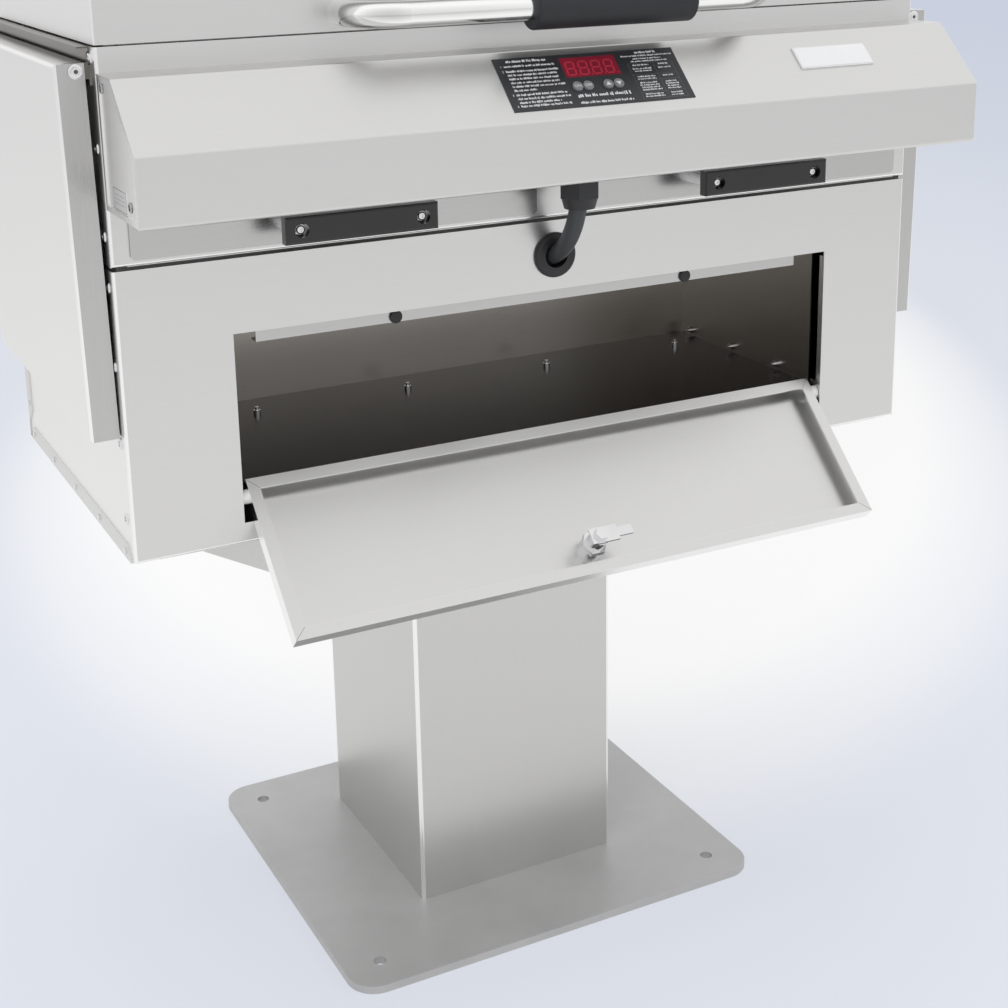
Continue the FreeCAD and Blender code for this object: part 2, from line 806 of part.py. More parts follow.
cabinet_side = cut("cabinet_side", side_wall("cabinet_side_sheet", "cabinet_low", "cabinet_high",
                                             "cabinet_return", None),
                   screw_rows("cabinet_side_hole", "side_screw_shank_radius", CABINET_ROWS))
cabinet_sides = group("cabinet_sides", [cabinet_side, mirrored("cabinet_side_right", cabinet_side)])

cabinet_top = block("cabinet_top", ("left + neck_inset", "right - neck_inset"), ("front + neck_inset", "rear"),
                    ("cabinet_high", "cabinet_high + sheet"))

# Grill head: front with the two tray slots, sides, rear panel and floor.
head_shape = front_wall("head_front", "head_low", "head_high", "rim_return", "cabinet_return")
slot_left = block("slot_left",
                  ("-tray_pitch / 2 - tray_pan_width / 2 - tray_slot_margin",
                   "-tray_pitch / 2 + tray_pan_width / 2 + tray_slot_margin"),
                  ("front - past", "front + sheet + past"),
                  ("tray_low - tray_slot_margin", "tray_low + tray_pan_height + tray_slot_margin"))
head_holes = screw_rows("head_front_hole", "side_screw_shank_radius", HEAD_ROWS)
head_holes_right = [mirrored("head_front_hole_right_%d" % i, hole) for i, hole in enumerate(head_holes)]
head_front_panel = cut("head_front_panel", head_shape,
                       [slot_left, mirrored("slot_right", slot_left)] + head_holes + head_holes_right)
head_side = cut("head_side", side_wall("head_side_sheet", "head_low", "head_high", "rim_return",
                                       "cabinet_return"),
                screw_rows("head_side_hole", "side_screw_shank_radius", HEAD_ROWS))
head_sides = group("head_sides", [head_side, mirrored("head_side_right", head_side)])
head_floor = block("head_floor", ("left + neck_inset", "right - neck_inset"), ("front + neck_inset", "rear"),
                   ("cabinet_high + sheet", "head_low"))

rear_sheet = block("rear_sheet", ("left - sheet", "right + sheet"), ("rear", "outer_rear"),
                   ("cabinet_low", "head_high"))
rear_flange = block("rear_flange", ("left - sheet", "left"), ("outer_rear - back_flange_depth", "rear"),
                    ("cabinet_low + back_flange_lift", "head_high"))
rear_flange_left = bevelled("rear_flange_left", rear_flange, size("back_flange_corner"),
                            straight_edges(rear_flange, "x", y="low", z="low"))
rear_return = block("rear_return", ("left + rim_return + sheet", "right - rim_return - sheet"),
                    ("rear - rim_return", "rear"), ("head_high - sheet", "head_high"))
rear_panel = join("rear_panel", [rear_sheet, rear_flange_left,
                                 mirrored("rear_flange_right", rear_flange_left), rear_return])

# Storage liner, its rail and the studs that hold them.
LINER_X = ("-opening_width / 2", "opening_width / 2")
LINER_Z = ("liner_floor - sheet", "liner_ceiling + sheet")
liner_floor_sheet = block("liner_floor_sheet", LINER_X, ("front + liner_floor_setback", "liner_back"),
                          ("liner_floor - sheet", "liner_floor"))
liner_top_sheet = block("liner_top_sheet", LINER_X, ("liner_front", "liner_back"),
                        ("liner_ceiling", "liner_ceiling + sheet"))
liner_back_sheet = block("liner_back_sheet", ("-opening_width / 2 - sheet", "opening_width / 2 + sheet"),
                         ("liner_back", "liner_back + sheet"), LINER_Z)
liner_left = block("liner_left", ("-opening_width / 2 - sheet", "-opening_width / 2"),
                   ("liner_front", "liner_back"), LINER_Z)
liner_right = mirrored("liner_right", liner_left)
STUD_XS = ["floor_stud_offset + %s * floor_stud_pitch" % share for share in ("-1.5", "-0.5", "0.5", "1.5")]
STUD_YS = ["front + wall_stud_setback + %d * wall_stud_pitch" % k for k in range(3)]


def floor_bars(name, radius, low, high):
    """Upright bars at the floor studs."""
    return [rod("%s_%d" % (name, i), radius, x, "front + floor_stud_setback", (low, high))
            for i, x in enumerate(STUD_XS)]


def wall_bars(name, radius, low, high):
    """Bars across the right wall of the liner."""
    return [rod("%s_%d" % (name, i), radius, (low, high), y, "liner_floor + wall_stud_lift")
            for i, y in enumerate(STUD_YS)]


liner_floor_drilled = cut("liner_floor_drilled", liner_floor_sheet,
                          floor_bars("liner_hole", "stud_radius", "liner_floor - 2 * sheet", "liner_floor + past"))
liner_right_drilled = cut("liner_right_drilled", liner_right,
                          wall_bars("liner_wall_hole", "stud_radius", "opening_width / 2 - past",
                                    "opening_width / 2 + sheet + past"))
storage_liner = group("storage_liner", [
    liner_floor_drilled, liner_top_sheet, liner_back_sheet, liner_left, liner_right_drilled])
rail_outer = block("rail_outer", ("-rail_length / 2", "rail_length / 2"),
                   ("front + floor_stud_setback - rail_width / 2", "front + floor_stud_setback + rail_width / 2"),
                   ("cabinet_low", "liner_floor - sheet"))
rail_inner = block("rail_inner", ("-rail_length / 2 - past", "rail_length / 2 + past"),
                   ("front + floor_stud_setback - rail_width / 2 + sheet",
                    "front + floor_stud_setback + rail_width / 2 - sheet"),
                   ("cabinet_low - past", "liner_floor - 2 * sheet"))
liner_rail = cut("liner_rail", rail_outer,
                 [rail_inner] + floor_bars("rail_hole", "stud_radius", "liner_floor - 3 * sheet", "liner_floor"))
studs = []
for index, (shank, nut) in enumerate(zip(
        floor_bars("stud_shank", "stud_radius", "liner_floor - 2 * sheet - stud_nut_height",
                   "liner_floor + stud_height"),
        floor_bars("stud_nut", "stud_nut_radius", "liner_floor", "liner_floor + stud_nut_height"))):
    studs.append(join("floor_stud_%d" % index, [shank, nut]))
for index, (shank, nut) in enumerate(zip(
        wall_bars("wall_shank", "stud_radius", "opening_width / 2 - stud_height",
                  "opening_width / 2 + sheet + stud_nut_height"),
        wall_bars("wall_nut", "stud_nut_radius", "opening_width / 2 - stud_nut_height", "opening_width / 2"))):
    studs.append(join("wall_stud_%d" % index, [shank, nut]))
liner_studs = group("liner_studs", studs)

# Stop strip behind the opening's top edge, which the door and its cam close against.
strip_face = block("strip_face", ("-strip_width / 2", "strip_width / 2"), ("strip_front", "strip_front + sheet"),
                   ("cabinet_low + strip_low", "cabinet_low + strip_high"))
strip_lower = block("strip_lower", ("-strip_width / 2", "strip_width / 2"),
                    ("strip_front", "strip_front + strip_return"),
                    ("cabinet_low + strip_low", "cabinet_low + strip_low + sheet"))
strip_upper = block("strip_upper", ("-strip_width / 2", "strip_width / 2"),
                    ("front + sheet", "strip_front + sheet"),
                    ("cabinet_low + strip_high - sheet", "cabinet_low + strip_high"))
strip_leg = block("strip_leg", ("-strip_width / 2", "strip_width / 2"),
                  ("front + sheet", "front + 2 * sheet"),
                  ("lintel + sheet", "cabinet_low + strip_high"))
door_stop_strip = join("door_stop_strip", [strip_face, strip_lower, strip_upper, strip_leg])

door_bumper = rod("door_bumper", "bumper_radius", "-bumper_spread",
                  ("strip_front - bumper_height", "strip_front"), "cabinet_low + bumper_lift")
door_bumper_left = rounded("door_bumper_left", door_bumper, size("bumper_edge_radius"),
                           ring_edges(door_bumper, "y", place("strip_front") - size("bumper_height")))
lid_pad_front = block("lid_pad_front", ("left + bend_radius", "left + lid_pad_width"),
                      ("front + lid_pad_setback", "front + lid_pad_setback + lid_pad_length"),
                      ("head_high", "head_high + lid_gap - seat_gap"))
bumpers = group("bumpers", [door_bumper_left, mirrored("door_bumper_right", door_bumper_left),
                            lid_pad_front, mirrored("lid_pad_right", lid_pad_front)])

# Fasteners that show: screws with low domed heads, and rivets.
screws = []
for index, z in enumerate(CABINET_ROWS + HEAD_ROWS):
    head = rod("screw_head_%d" % index, "side_screw_radius", ("left - side_screw_height", "left"),
               "front + side_screw_inset", z)
    head = rounded("screw_dome_%d" % index, head, size("screw_edge_radius"),
                   ring_edges(head, "x", place("left") - size("side_screw_height")))
    shank = rod("screw_shank_%d" % index, "side_screw_shank_radius", ("left", "left + side_screw_shank"),
                "front + side_screw_inset", z)
    screws.append(join("side_screw_%d" % index, [head, shank]))
screws += [mirrored("side_screw_right_%d" % index, screw) for index, screw in enumerate(list(screws))]
end_screws = []
for index, (y, z) in enumerate([
        ("front - end_screw_rear_reach", "console_top - end_screw_rear_drop"),
        ("front - end_screw_front_reach", "console_bottom + end_screw_front_lift")]):
    end_screws.append(rod("end_screw_%d" % index, "end_screw_radius", ("left", "left + console_recess"), y, z))
screws += end_screws + [mirrored("end_screw_right_%d" % i, screw) for i, screw in enumerate(end_screws)]
for index in range(2):
    screws.append(rod("bracket_screw_%d" % index, "bracket_screw_radius",
                      ("left - sheet - bracket_screw_height", "left - sheet"),
                      "front + shelf_setback + bracket_screw_front + %d * bracket_screw_pitch" % index,
                      "shelf_z + bracket_screw_lift"))
    screws.append(mirrored("bracket_screw_right_%d" % index, screws[-1]))
panel_screws = group("panel_screws", screws)

rivets = []
for index in range(5):
    rivets.append(rod("pan_rivet_%d" % index, "rivet_radius", ("left - sheet - rivet_height", "left - sheet"),
                      "front + rivet_first + %d * rivet_pitch" % index, "cabinet_low + rivet_lift"))
for index in range(5):
    rivets.append(rod("rear_rivet_%d" % index, "rivet_radius", ("left - sheet - rivet_height", "left - sheet"),
                      "outer_rear - back_flange_depth / 2",
                      "cabinet_low + back_rivet_first + %d * back_rivet_pitch" % index))
rivets += [mirrored("rivet_right_%d" % index, rivet) for index, rivet in enumerate(list(rivets))]
flange_rivets = group("flange_rivets", rivets)

# Cord: straight down inside the gland, one bend to the grommet, a return bend and a run to the junction box.
CORD_FRAME = Rotation(Vector(0, -1, 0), Vector(0, 0, -1), Vector(1, 0, 0), "ZXY")
RETURN_FRAME = Rotation(Vector(0, 0, -1), Vector(0, -1, 0), Vector(-1, 0, 0), "ZXY")


def bend(name, tube, radius, angle, frame, x, y, z):
    """Part of a ring of round bar."""
    obj = doc.addObject("Part::Torus", name)
    obj.Placement = Placement(Vector(), frame)
    obj.setExpression("Radius1", bound(radius))
    obj.setExpression("Radius2", bound(tube))
    obj.setExpression("Angle3", bound(angle))
    return seat(obj, x, y, z)


cord_top = rod("cord_top", "cord_radius", "0", "gland_y", ("cord_bend_z", "power_module_z"))
cord_bend = bend("cord_bend_down", "cord_radius", "cord_bend_size", "cord_turn", CORD_FRAME,
                 "0", "gland_y + cord_bend_size", "cord_bend_z")
cord_slant = doc.addObject("Part::Cylinder", "cord_slant")
cord_slant.setExpression("Radius", bound("cord_radius"))
cord_slant.setExpression("Height", bound("cord_slant_length"))
turned(cord_slant, X_AXIS, "180 deg + cord_turn", "0", "front", "grommet_z")
cord_return = bend("cord_bend_back", "cord_radius", "cord_return_radius", "90 deg - cord_turn", RETURN_FRAME,
                   "0", "cord_return_y", "cord_return_z")
cord_run = rod("cord_run", "cord_radius", "0", ("cord_return_y", "junction_front"),
               "cord_return_z - cord_return_radius")
power_cord = join("power_cord", [cord_top, cord_bend, cord_slant, cord_return, cord_run])

grommet_front_ring = rod("grommet_front_ring", "grommet_radius", "0", ("front - grommet_front", "front"),
                         "grommet_z")
grommet_lip = rounded("grommet_lip", grommet_front_ring, size("grommet_round"),
                      ring_edges(grommet_front_ring, "y", place("front") - size("grommet_front")))
grommet_neck = rod("grommet_neck", "grommet_neck_radius", "0", ("front", "front + sheet"), "grommet_z")
grommet_rear_ring = rod("grommet_rear_ring", "grommet_radius - grommet_rear / 2", "0",
                        ("front + sheet", "front + sheet + grommet_rear"), "grommet_z")
grommet_bore = rod("grommet_bore", "grommet_bore_radius", "0",
                   ("front - grommet_front - past", "front + sheet + grommet_rear + past"), "grommet_z")
cord_grommet = cut("cord_grommet", join("grommet_shape", [grommet_lip, grommet_neck, grommet_rear_ring]),
                   [grommet_bore])

gland_hex = hexagon("gland_hex", "gland_radius", "0", "gland_y", ("gland_shoulder", "gland_face"))
gland_skirt = taper("gland_skirt", "gland_tip_radius", "gland_dome_radius", "0", "gland_y",
                    ("gland_tip", "gland_shoulder"))
gland_thread = rod("gland_thread", "gland_thread_radius", "0", "gland_y",
                   ("gland_face", "gland_face + gland_thread_length"))
gland_bore = rod("gland_bore", "cord_radius + running_gap", "0", "gland_y",
                 ("gland_tip - past", "gland_face + gland_thread_length + past"))
gland_mouth = rod("gland_mouth", "gland_mouth_radius", "0", "gland_y", ("gland_tip - past", "cord_bend_z"))
gland_body = cut("gland_body", join("gland_shape", [gland_hex, gland_skirt, gland_thread]),
                 [gland_bore, gland_mouth])
gland_nut_hex = hexagon("gland_nut_hex", "gland_nut_radius", "0", "gland_y",
                        ("gland_face + sheet", "gland_face + sheet + gland_nut_height"))
gland_nut_bore = rod("gland_nut_bore", "gland_thread_radius", "0", "gland_y",
                     ("gland_face + sheet - past", "gland_face + sheet + gland_nut_height + past"))
cable_gland = group("cable_gland", [gland_body, cut("gland_nut", gland_nut_hex, [gland_nut_bore])])

junction_box = block("junction_box", ("-junction_width / 2", "junction_width / 2"),
                     ("junction_front", "junction_front + junction_depth"),
                     ("liner_ceiling + sheet", "liner_ceiling + sheet + junction_height"))

# Firebox: a stepped tub that hangs by its rim, two drip funnels, the element and its supports.
tub_rim = block("tub_rim", ("left + rim_inset", "right - rim_inset"), ("front + rim_inset", "rear - rim_inset"),
                ("head_high", "head_high + sheet / 2"))
tub_upper = block("tub_upper", ("tub_left", "tub_right"), ("tub_front", "tub_rear"),
                  ("ledge_top - sheet", "head_high + sheet / 2"))
tub_lower = block("tub_lower", ("tub_left + grate_ledge", "tub_right - grate_ledge"),
                  ("tub_front + grate_ledge", "tub_rear - grate_ledge"), ("tub_bottom", "ledge_top"))
tub_upper_hollow = block("tub_upper_hollow", ("tub_left + sheet", "tub_right - sheet"),
                         ("tub_front + sheet", "tub_rear - sheet"), ("ledge_top", "head_high + sheet"))
tub_lower_hollow = block("tub_lower_hollow", ("tub_left + grate_ledge + sheet", "tub_right - grate_ledge - sheet"),
                         ("tub_front + grate_ledge + sheet", "tub_rear - grate_ledge - sheet"),
                         ("tub_bottom + sheet", "ledge_top + past"))
drain_left = block("drain_left", ("-tray_pitch / 2 - funnel_width / 2", "-tray_pitch / 2 + funnel_width / 2"),
                   ("-funnel_depth / 2", "funnel_depth / 2"), ("tub_bottom - past", "tub_bottom + sheet + past"))


def element_rods(name, radius, start, end, count=6):
    """Parallel bars across the tub at the element's runs."""
    return [rod("%s_%d" % (name, i), radius, (start, end),
                "tub_front + element_front_gap + %d * element_pitch" % i, "element_z") for i in range(count)]


terminal_holes = [piece for i, piece in enumerate(element_rods(
    "terminal_hole", "element_radius + running_gap", "tub_left - past", "tub_left + grate_ledge + 2 * sheet"))
    if i in (0, 5)]
firebox_tub = cut("firebox_tub", join("tub_shape", [tub_rim, tub_upper, tub_lower]),
                  [tub_upper_hollow, tub_lower_hollow, drain_left, mirrored("drain_right", drain_left)]
                  + terminal_holes)

HALF_LEFT = Rotation(Vector(0, 1, 0), Vector(-1, 0, 0), Vector(0, 0, 1), "ZXY")
HALF_RIGHT = Rotation(Vector(0, -1, 0), Vector(1, 0, 0), Vector(0, 0, 1), "ZXY")
element_pieces = []
for index in range(6):
    start = "tub_left - element_terminal" if index in (0, 5) else "-element_run / 2"
    element_pieces.append(rod("element_run_%d" % index, "element_radius", (start, "element_run / 2"),
                              "tub_front + element_front_gap + %d * element_pitch" % index, "element_z"))
for index in range(5):
    on_right = index % 2 == 0
    element_pieces.append(bend("element_turn_%d" % index, "element_radius", "element_pitch / 2", "180 deg",
                               HALF_RIGHT if on_right else HALF_LEFT,
                               "element_run / 2" if on_right else "-element_run / 2",
                               "tub_front + element_front_gap + %d * element_pitch + element_pitch / 2" % index,
                               "element_z"))
heating_element = join("heating_element", element_pieces)
support_left = block("support_left", ("-support_spread - support_width / 2", "-support_spread + support_width / 2"),
                     ("tub_front + element_front_gap - element_pitch / 3",
                      "tub_front + element_front_gap + 5 * element_pitch + element_pitch / 3"),
                     ("tub_bottom + sheet", "element_z - element_radius"))
support_feet = block("support_feet", ("-support_spread - support_foot / 2", "-support_spread + support_foot / 2"),
                     ("funnel_depth / 2 + sheet",
                      "tub_front + element_front_gap + 5 * element_pitch + element_pitch / 3"),
                     ("tub_bottom + sheet", "tub_bottom + 2 * sheet"))
support_shape = join("support_shape", [support_left, support_feet])
element_supports = group("element_supports", [support_shape, mirrored("support_right", support_shape)])


def wedge(name, grow, x, low, high):
    """A rectangular funnel body that narrows downward, made larger all round by grow."""
    obj = doc.addObject("Part::Wedge", name)
    obj.Placement = Placement(Vector(), Rotation(Vector(1, 0, 0), 90))
    obj.setExpression("Ymin", bound(low))
    obj.setExpression("Ymax", bound(high))
    for prop, text in (
            ("Xmin", "-funnel_slot_width / 2 - %s" % grow), ("Xmax", "funnel_slot_width / 2 + %s" % grow),
            ("Zmin", "-funnel_slot / 2 - %s" % grow), ("Zmax", "funnel_slot / 2 + %s" % grow),
            ("X2min", "-funnel_width / 2 - %s" % grow), ("X2max", "funnel_width / 2 + %s" % grow),
            ("Z2min", "-funnel_depth / 2 - %s" % grow), ("Z2max", "funnel_depth / 2 + %s" % grow)):
        obj.setExpression(prop, bound(text))
    obj.setExpression("Placement.Base.x", bound(x))
    return obj


funnel_left = cut("funnel_left", wedge("funnel_outside", "funnel_sheet", "-tray_pitch / 2",
                                       "funnel_bottom", "tub_bottom"),
                  [wedge("funnel_inside", "0", "-tray_pitch / 2", "funnel_bottom", "tub_bottom")])
drip_funnels = group("drip_funnels", [funnel_left, mirrored("funnel_right", funnel_left)])


def grate(name, low, high, count):
    """Round bars front to back on two cross bars."""
    pieces = [
        rod(name + "_front_bar", "grate_frame_radius", (low, high), "tub_front + grate_ledge / 2 + sheet",
            "grate_frame_z"),
        rod(name + "_rear_bar", "grate_frame_radius", (low, high), "tub_rear - grate_ledge / 2 - sheet",
            "grate_frame_z"),
    ]
    for index in range(count):
        pieces.append(rod("%s_bar_%d" % (name, index), "grate_bar_radius",
                          "%s + grate_bar_radius + %d * grate_pitch" % (low, index),
                          ("tub_front + sheet + grate_end_gap", "tub_rear - sheet - grate_end_gap"), "grate_bar_z"))
    return join(name, pieces)


BARS = int((size("cabinet_width") / 2 - size("tub_side_gap") - 2 * size("grate_end_gap"))
           // size("grate_pitch")) + 1
cooking_grate_left = grate("cooking_grate_left", "tub_left + sheet + grate_end_gap", "-grate_end_gap", BARS)
cooking_grate_right = mirrored("cooking_grate_right", cooking_grate_left)

# Grease trays with their runners.
runner_web = block("runner_web",
                   ("-tray_pitch / 2 - tray_pan_width / 2 - seat_gap - sheet",
                    "-tray_pitch / 2 - tray_pan_width / 2 - seat_gap"),
                   ("front + runner_front_gap", "front + runner_front_gap + runner_length"),
                   ("head_low", "tray_low + runner_lip"))
runner_shelf = block("runner_shelf",
                     ("-tray_pitch / 2 - tray_pan_width / 2 - seat_gap - sheet",
                      "-tray_pitch / 2 - tray_pan_width / 2 + runner_width"),
                     ("front + runner_front_gap", "front + runner_front_gap + runner_length"),
                     ("tray_low - seat_gap - sheet", "tray_low - seat_gap"))
runner_outer = join("runner_outer", [runner_web, runner_shelf])
inner_web = block("inner_web",
                  ("-tray_pitch / 2 + tray_pan_width / 2 + seat_gap",
                   "-tray_pitch / 2 + tray_pan_width / 2 + seat_gap + sheet"),
                  ("front + runner_front_gap", "front + runner_front_gap + runner_length"),
                  ("head_low", "tray_low + runner_lip"))
inner_shelf = block("inner_shelf",
                    ("-tray_pitch / 2 + tray_pan_width / 2 - runner_width",
                     "-tray_pitch / 2 + tray_pan_width / 2 + seat_gap + sheet"),
                    ("front + runner_front_gap", "front + runner_front_gap + runner_length"),
                    ("tray_low - seat_gap - sheet", "tray_low - seat_gap"))
runner_inner = join("runner_inner", [inner_web, inner_shelf])
tray_runners = group("tray_runners", [runner_outer, runner_inner, mirrored("runner_outer_right", runner_outer),
                                      mirrored("runner_inner_right", runner_inner)])

tray_outer = block("tray_outer", ("-tray_pitch / 2 - tray_pan_width / 2", "-tray_pitch / 2 + tray_pan_width / 2"),
                   ("tray_face", "tray_face + tray_pan_depth"), ("tray_low", "tray_low + tray_pan_height"))
tray_hollow = block("tray_hollow",
                    ("-tray_pitch / 2 - tray_pan_width / 2 + tray_pan_sheet",
                     "-tray_pitch / 2 + tray_pan_width / 2 - tray_pan_sheet"),
                    ("tray_face + tray_pan_sheet", "tray_face + tray_pan_depth - tray_pan_sheet"),
                    ("tray_low + tray_pan_sheet", "tray_low + tray_pan_height + past"))
tray_left_pan = cut("tray_left_pan", tray_outer, [tray_hollow])
tray_right_pan = mirrored("tray_right_pan", tray_left_pan)

tray_plate = block("tray_plate",
                   ("-tray_pitch / 2 - tray_front_width / 2", "-tray_pitch / 2 + tray_front_width / 2"),
                   ("tray_face - tray_front_thickness", "tray_face"),
                   ("head_low + tray_front_low", "head_low + tray_front_high"))
tray_left_front = bevelled("tray_left_front", tray_plate, size("tray_front_corner"),
                           straight_edges(tray_plate, "y", z="low"))
tray_right_front = mirrored("tray_right_front", tray_left_front)

handle_bar = block("handle_bar", ("-tray_pitch / 2 - handle_width / 2", "-tray_pitch / 2 + handle_width / 2"),
                   ("front - handle_reach", "front - handle_reach + handle_thickness"),
                   ("head_low + handle_low", "head_low + handle_low + handle_height"))
handle_bar_rounded = rounded("handle_bar_rounded", handle_bar, size("handle_corner_radius"),
                             straight_edges(handle_bar, "z", y="low") + straight_edges(handle_bar, "x", y="low"))
HANDLE_XS = ["-tray_pitch / 2 - handle_screw_spread", "-tray_pitch / 2 + handle_screw_spread"]
SCREW_Z = "head_low + handle_low + handle_height / 2"
handle_bores = [rod("handle_bore_%d" % i, "handle_bore_radius", x,
                    ("front - handle_reach - past", "front - handle_reach + handle_bore_depth"), SCREW_Z)
                for i, x in enumerate(HANDLE_XS)]
handle_bar_ended = rounded("handle_bar_ended", handle_bar_rounded, size("handle_end_radius"),
                           straight_edges(handle_bar_rounded, "z", y="high"))
handle_body = cut("handle_body", handle_bar_ended, handle_bores)
handle_screws = [rod("handle_screw_%d" % i, "handle_screw_radius", x,
                     ("front - handle_reach + handle_bore_depth - handle_screw_head",
                      "front - handle_reach + handle_bore_depth"), SCREW_Z) for i, x in enumerate(HANDLE_XS)]
standoffs = [rod("standoff_%d" % i, "standoff_radius", x,
                 ("front - handle_reach + handle_thickness", "tray_face - tray_front_thickness"), SCREW_Z)
             for i, x in enumerate(HANDLE_XS)]
tray_left_handle = group("tray_left_handle", [handle_body] + handle_screws + standoffs)
tray_right_handle = group("tray_right_handle", [mirrored("tray_right_%s" % piece.Name, piece)
                                                for piece in [handle_body] + handle_screws + standoffs])

# Console cover with its sloped control face, end caps and floor.
console_section = outline("console_section", "x", [
    ("front", "console_top"),
    ("ledge_front", "console_top"),
    ("console_front", "console_crease"),
    ("console_front", "console_bottom"),
    ("front", "console_bottom"),
])
console_body = prism("console_body", console_section, "cabinet_width", "left", "x")
doc.recompute()
console_picks = [number for number in straight_edges(console_body, "x")
                 if console_body.Shape.Edges[number - 1].CenterOfMass.y < place("front") - TOUCH]
console_outer = rounded("console_outer", console_body, size("console_bend_radius"), console_picks)
console_inset = inset("console_inset", console_section, "sheet")
console_hollow = prism("console_hollow", console_inset, "cabinet_width + 2", "left - past", "x")
console_back = block("console_back", ("left - past", "right + past"), ("front - 2 * sheet", "front + past"),
                     ("console_bottom - past", "console_top - sheet"))
console_under = block("console_under", ("left - past", "right + past"), ("console_front + console_return", "front + past"),
                      ("console_bottom - past", "console_bottom + 2 * sheet"))
return_stop = block("return_stop", ("left - past", "left + console_return_stop"),
                    ("console_front + console_bend_radius", "console_front + console_return + past"),
                    ("console_bottom - past", "console_bottom + sheet"))
console_shell = cut("console_shell", console_outer,
                    [console_hollow, console_back, console_under, return_stop,
                     mirrored("return_stop_right", return_stop)])


def on_slope(obj):
    """Carry a piece from the flat to the control face."""
    return turned(obj, X_AXIS, "console_slope", "0", "ledge_front", "console_top")


BUTTON_XS = {
    "button_on": "button_row_offset",
    "button_off": "button_row_offset + button_pair_gap",
    "button_up": "button_row_offset + button_pair_gap + button_row_gap",
    "button_down": "button_row_offset + 2 * button_pair_gap + button_row_gap",
}
button_holes = [rod(name + "_hole", "button_radius + button_gap", x, "-button_start",
                    ("-2 * sheet", "2 * overlay_thickness")) for name, x in BUTTON_XS.items()]
aperture = block("aperture",
                 ("window_offset - window_width / 2 + sheet", "window_offset + window_width / 2 - sheet"),
                 ("-window_start - window_length + sheet", "-window_start - sheet"), ("-2 * sheet", "1"))
face_holes = on_slope(group("face_holes", button_holes + [aperture]))
console_cover = cut("console_cover", console_shell, [face_holes])

overlay_sheet = block("overlay_sheet",
                      ("overlay_offset - overlay_width / 2", "overlay_offset + overlay_width / 2"),
                      ("-overlay_start - overlay_length", "-overlay_start"), ("0", "overlay_thickness"))
window_cut = block("window_cut",
                   ("window_offset - window_width / 2 - running_gap", "window_offset + window_width / 2 + running_gap"),
                   ("-window_start - window_length - running_gap", "-window_start + running_gap"),
                   ("-1", "1 + overlay_thickness"))
control_overlay = on_slope(cut("control_overlay", overlay_sheet, [window_cut] + button_holes))
window_pane = block("window_pane", ("window_offset - window_width / 2", "window_offset + window_width / 2"),
                    ("-window_start - window_length", "-window_start"), ("0", "window_thickness"))
display_window = on_slope(group("display_window", [window_pane]))

board_sheet = block("board_sheet", ("overlay_offset - board_width / 2", "overlay_offset + board_width / 2"),
                    ("-board_start - board_length", "-board_start"),
                    ("-board_depth - board_thickness", "-board_depth"))
board_parts = [board_sheet]
for index, (x, y) in enumerate([
        ("overlay_offset - board_width / 2 + 2 * board_post_radius", "-board_start - 2 * board_post_radius"),
        ("overlay_offset + board_width / 2 - 2 * board_post_radius", "-board_start - 2 * board_post_radius"),
        ("overlay_offset - board_width / 2 + 2 * board_post_radius",
         "-board_start - board_length + 2 * board_post_radius"),
        ("overlay_offset + board_width / 2 - 2 * board_post_radius",
         "-board_start - board_length + 2 * board_post_radius")]):
    board_parts.append(rod("board_post_%d" % index, "board_post_radius", x, y, ("-board_depth", "-sheet")))
board_parts.append(block("display_module",
                         ("window_offset - window_width / 2", "window_offset + window_width / 2"),
                         ("-window_start - window_length", "-window_start"),
                         ("-board_depth", "-sheet - seat_gap")))
for name, x in BUTTON_XS.items():
    board_parts.append(block(name + "_switch", (x + " - switch_size / 2", x + " + switch_size / 2"),
                             ("-button_start - switch_size / 2", "-button_start + switch_size / 2"),
                             ("-board_depth", "-button_stem_end - button_travel - seat_gap")))
control_board = on_slope(join("control_board", board_parts))

buttons = {}
for name, x in BUTTON_XS.items():
    cap = rod(name + "_cap", "button_radius", x, "-button_start",
              ("-sheet - seat_gap - button_flange", "overlay_thickness + button_height"))
    flange = rod(name + "_flange", "button_radius + button_flange_reach", x, "-button_start",
                 ("-sheet - seat_gap - button_flange", "-sheet - seat_gap"))
    stem = rod(name + "_stem", "button_stem_radius", x, "-button_start",
               ("-button_stem_end", "-sheet - seat_gap - button_flange"))
    buttons[name] = on_slope(join(name, [cap, flange, stem]))

badge_sheet = block("badge_sheet", ("badge_offset - badge_width / 2", "badge_offset + badge_width / 2"),
                    ("-badge_start - badge_length", "-badge_start"), ("0", "badge_thickness"))
badge_plate = on_slope(group("badge_plate", [badge_sheet]))
rating_plate = block("rating_plate", ("left + console_recess - rating_thickness", "left + console_recess"),
                     ("front - rating_reach", "front - rating_reach + rating_width"),
                     ("console_bottom + sheet + console_rim + rating_lift",
                      "console_bottom + sheet + console_rim + rating_lift + rating_height"))
blank_plates = group("blank_plates", [badge_plate, rating_plate])

cap_solid = prism("cap_solid", console_inset, "console_end_depth", "left", "x")
rim_inset_outline = inset("rim_inset_outline", console_section, "sheet + console_rim")
cap_recess = prism("cap_recess", rim_inset_outline, "console_recess + past", "left - past", "x")
back_inset_outline = inset("back_inset_outline", console_section, "2 * sheet")
cap_back = prism("cap_back", back_inset_outline, "console_end_depth", "left + console_recess + sheet", "x")
console_end = cut("console_end", cap_solid, [cap_recess, cap_back])
console_ends = group("console_ends", [console_end, mirrored("console_end_right", console_end)])

floor_sheet = block("floor_sheet", ("left + console_end_depth", "right - console_end_depth"),
                    ("console_front + sheet", "front"), ("console_plate", "console_plate + sheet"))
gland_hole = rod("gland_hole", "gland_thread_radius", "0", "gland_y", ("console_plate - past", "console_plate + 3 * sheet"))
console_floor = cut("console_floor", floor_sheet, [gland_hole])

